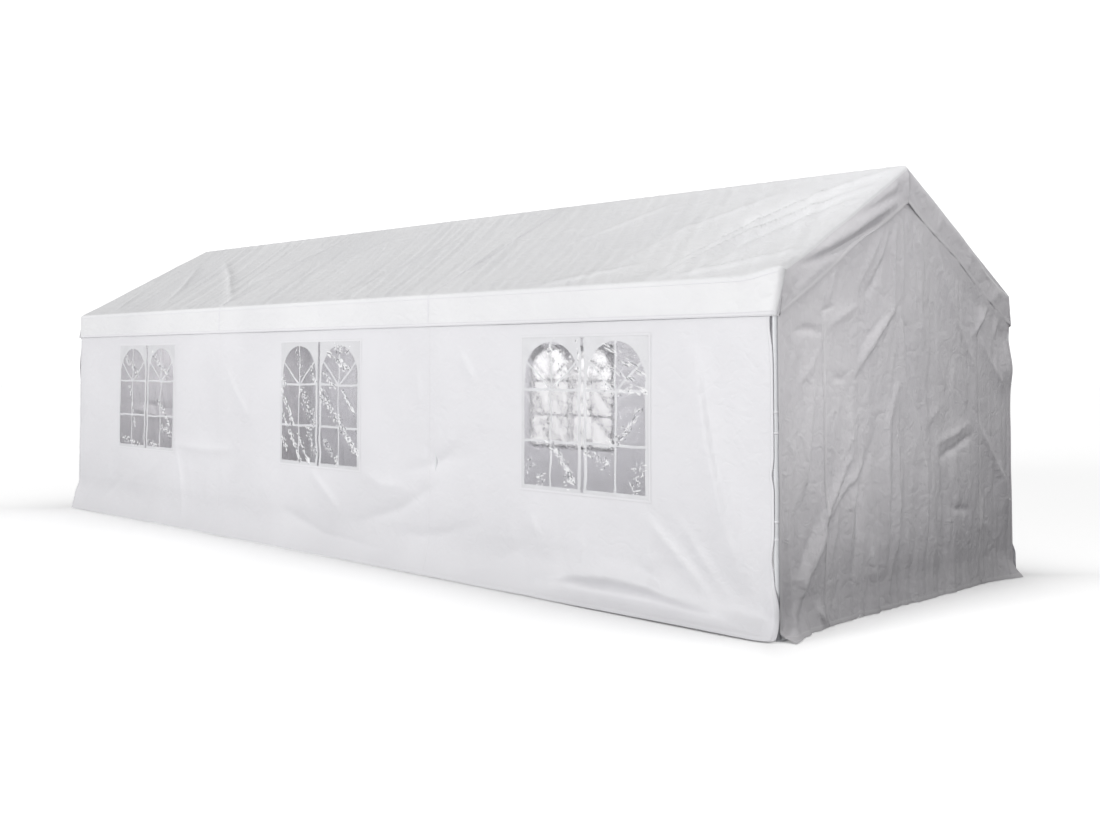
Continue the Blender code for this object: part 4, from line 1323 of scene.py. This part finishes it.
def add_floor():
    bpy.ops.mesh.primitive_grid_add(x_subdivisions=4, y_subdivisions=4, size=160, location=(0, 0, 0))
    floor = bpy.context.object
    floor.name = "floor"
    floor.location.z = -0.001
    material, shader = new_material("pale_floor", (0.92, 0.92, 0.92), 0.9)
    tree = material.node_tree
    shader.inputs["Specular IOR Level"].default_value = 0.0
    shader.inputs["Emission Color"].default_value = (1, 1, 1, 1)
    # The floor is dark to rays that only bring light, and pale with a glow to the camera and through the film.
    seen = seen_directly(tree)
    shade = tree.nodes.new("ShaderNodeMix")
    shade.data_type = "RGBA"
    shade.inputs[6].default_value = (0.13, 0.13, 0.14, 1)
    shade.inputs[7].default_value = (0.92, 0.92, 0.92, 1)
    tree.links.new(seen, shade.inputs["Factor"])
    tree.links.new(shade.outputs[2], shader.inputs["Base Color"])
    # Painted shadow: the glow is dimmed round the tent's footprint, deepest at the near end and reaching further at
    # the far end, and almost gone under the tent as painted shade.
    place = tree.nodes.new("ShaderNodeTexCoord")
    parts = tree.nodes.new("ShaderNodeSeparateXYZ")
    tree.links.new(place.outputs["Object"], parts.inputs[0])
    along = math_node(tree, "MINIMUM", math_node(tree, "MAXIMUM", parts.outputs["X"], -COVER_X), COVER_X)
    reach_y = math_node(tree, "MULTIPLY_ADD", along, 0.004, COVER_Y + 0.082)
    past_x = math_node(tree, "SUBTRACT", math_node(tree, "ABSOLUTE", parts.outputs["X"]), COVER_X - 0.02)
    past_y = math_node(tree, "SUBTRACT", math_node(tree, "ABSOLUTE", parts.outputs["Y"]), reach_y)
    past = math_node(tree, "MAXIMUM", past_x, past_y)
    away = math_node(tree, "MAXIMUM", past, 0.0)
    rate = math_node(tree, "MULTIPLY_ADD", along, -0.13, -2.0)
    shade_there = math_node(tree, "POWER", math.e, math_node(tree, "MULTIPLY", away, rate))
    depth = math_node(tree, "MULTIPLY_ADD", along, -0.014, -0.36)
    outside = math_node(tree, "MULTIPLY_ADD", math_node(tree, "GREATER_THAN", past, 0.0), 0.92, 0.08)
    glow_with_painted_shadow = math_node(tree, "MULTIPLY", math_node(tree, "MULTIPLY_ADD", shade_there, depth, 0.51), outside)
    tree.links.new(math_node(tree, "MULTIPLY", seen, glow_with_painted_shadow), shader.inputs["Emission Strength"])
    floor.data.materials.append(material)


def add_area(name, place, aim, size, power, colour=(1, 1, 1)):
    data = bpy.data.lights.new(name, "AREA")
    data.shape = "RECTANGLE"
    data.size, data.size_y = size
    data.energy = power
    data.color = colour
    light = bpy.data.objects.new(name, data)
    light.location = place
    light.rotation_euler = (Vector(aim) - Vector(place)).to_track_quat("-Z", "Y").to_euler()
    light.visible_camera = False
    bpy.context.scene.collection.objects.link(light)
    return light


def add_sun(name, towards, strength, spread):
    data = bpy.data.lights.new(name, "SUN")
    data.energy = strength
    data.angle = math.radians(spread)
    light = bpy.data.objects.new(name, data)
    light.rotation_euler = (-Vector(towards)).to_track_quat("-Z", "Y").to_euler()
    bpy.context.scene.collection.objects.link(light)
    return light


def add_lights():
    add_sun("key", (-0.35, -1.0, 0.10), 2.55, 22)
    add_area("side_fill", (-1.0, -6.5, 2.6), (-0.7, -1.5, 1.5), (4.0, 2.0), 33)
    add_area("end_high", (6.3, 0.3, 4.6), (4.5, -0.2, 2.2), (2.5, 3.0), 43)
    add_area("end_grazing", (6.1, -1.30, 1.50), (4.5, -0.1, 1.30), (0.9, 0.7), 11.2)
    for x, power in ((-3.0, 36), (0.0, 40), (3.0, 8)):
        inside = add_area(f"inside_{x:.0f}", (x, 0, 2.25), (x, 0, 0), (2.4, 1.2), power)
        inside.visible_glossy = False
        inside.visible_transmission = False
    world = bpy.data.worlds.new("studio")
    bpy.context.scene.world = world
    world.use_nodes = True
    tree = world.node_tree
    background = tree.nodes["Background"]
    background.inputs["Color"].default_value = (1, 1, 1, 1)
    seen = seen_directly(tree)
    strength = math_node(tree, "MULTIPLY_ADD", seen, 1.2 - 0.46, 0.46)
    tree.links.new(strength, background.inputs["Strength"])
    bpy.context.scene.view_settings.view_transform = "Standard"


add_camera()
add_floor()
add_lights()
finish_frame_parts()
add_roof_cover()
for side_name, side in SIDES.items():
    add_side_wall(side_name, side)
for end_name, end in ENDS.items():
    add_end_wall(end_name, end)
add_straps()
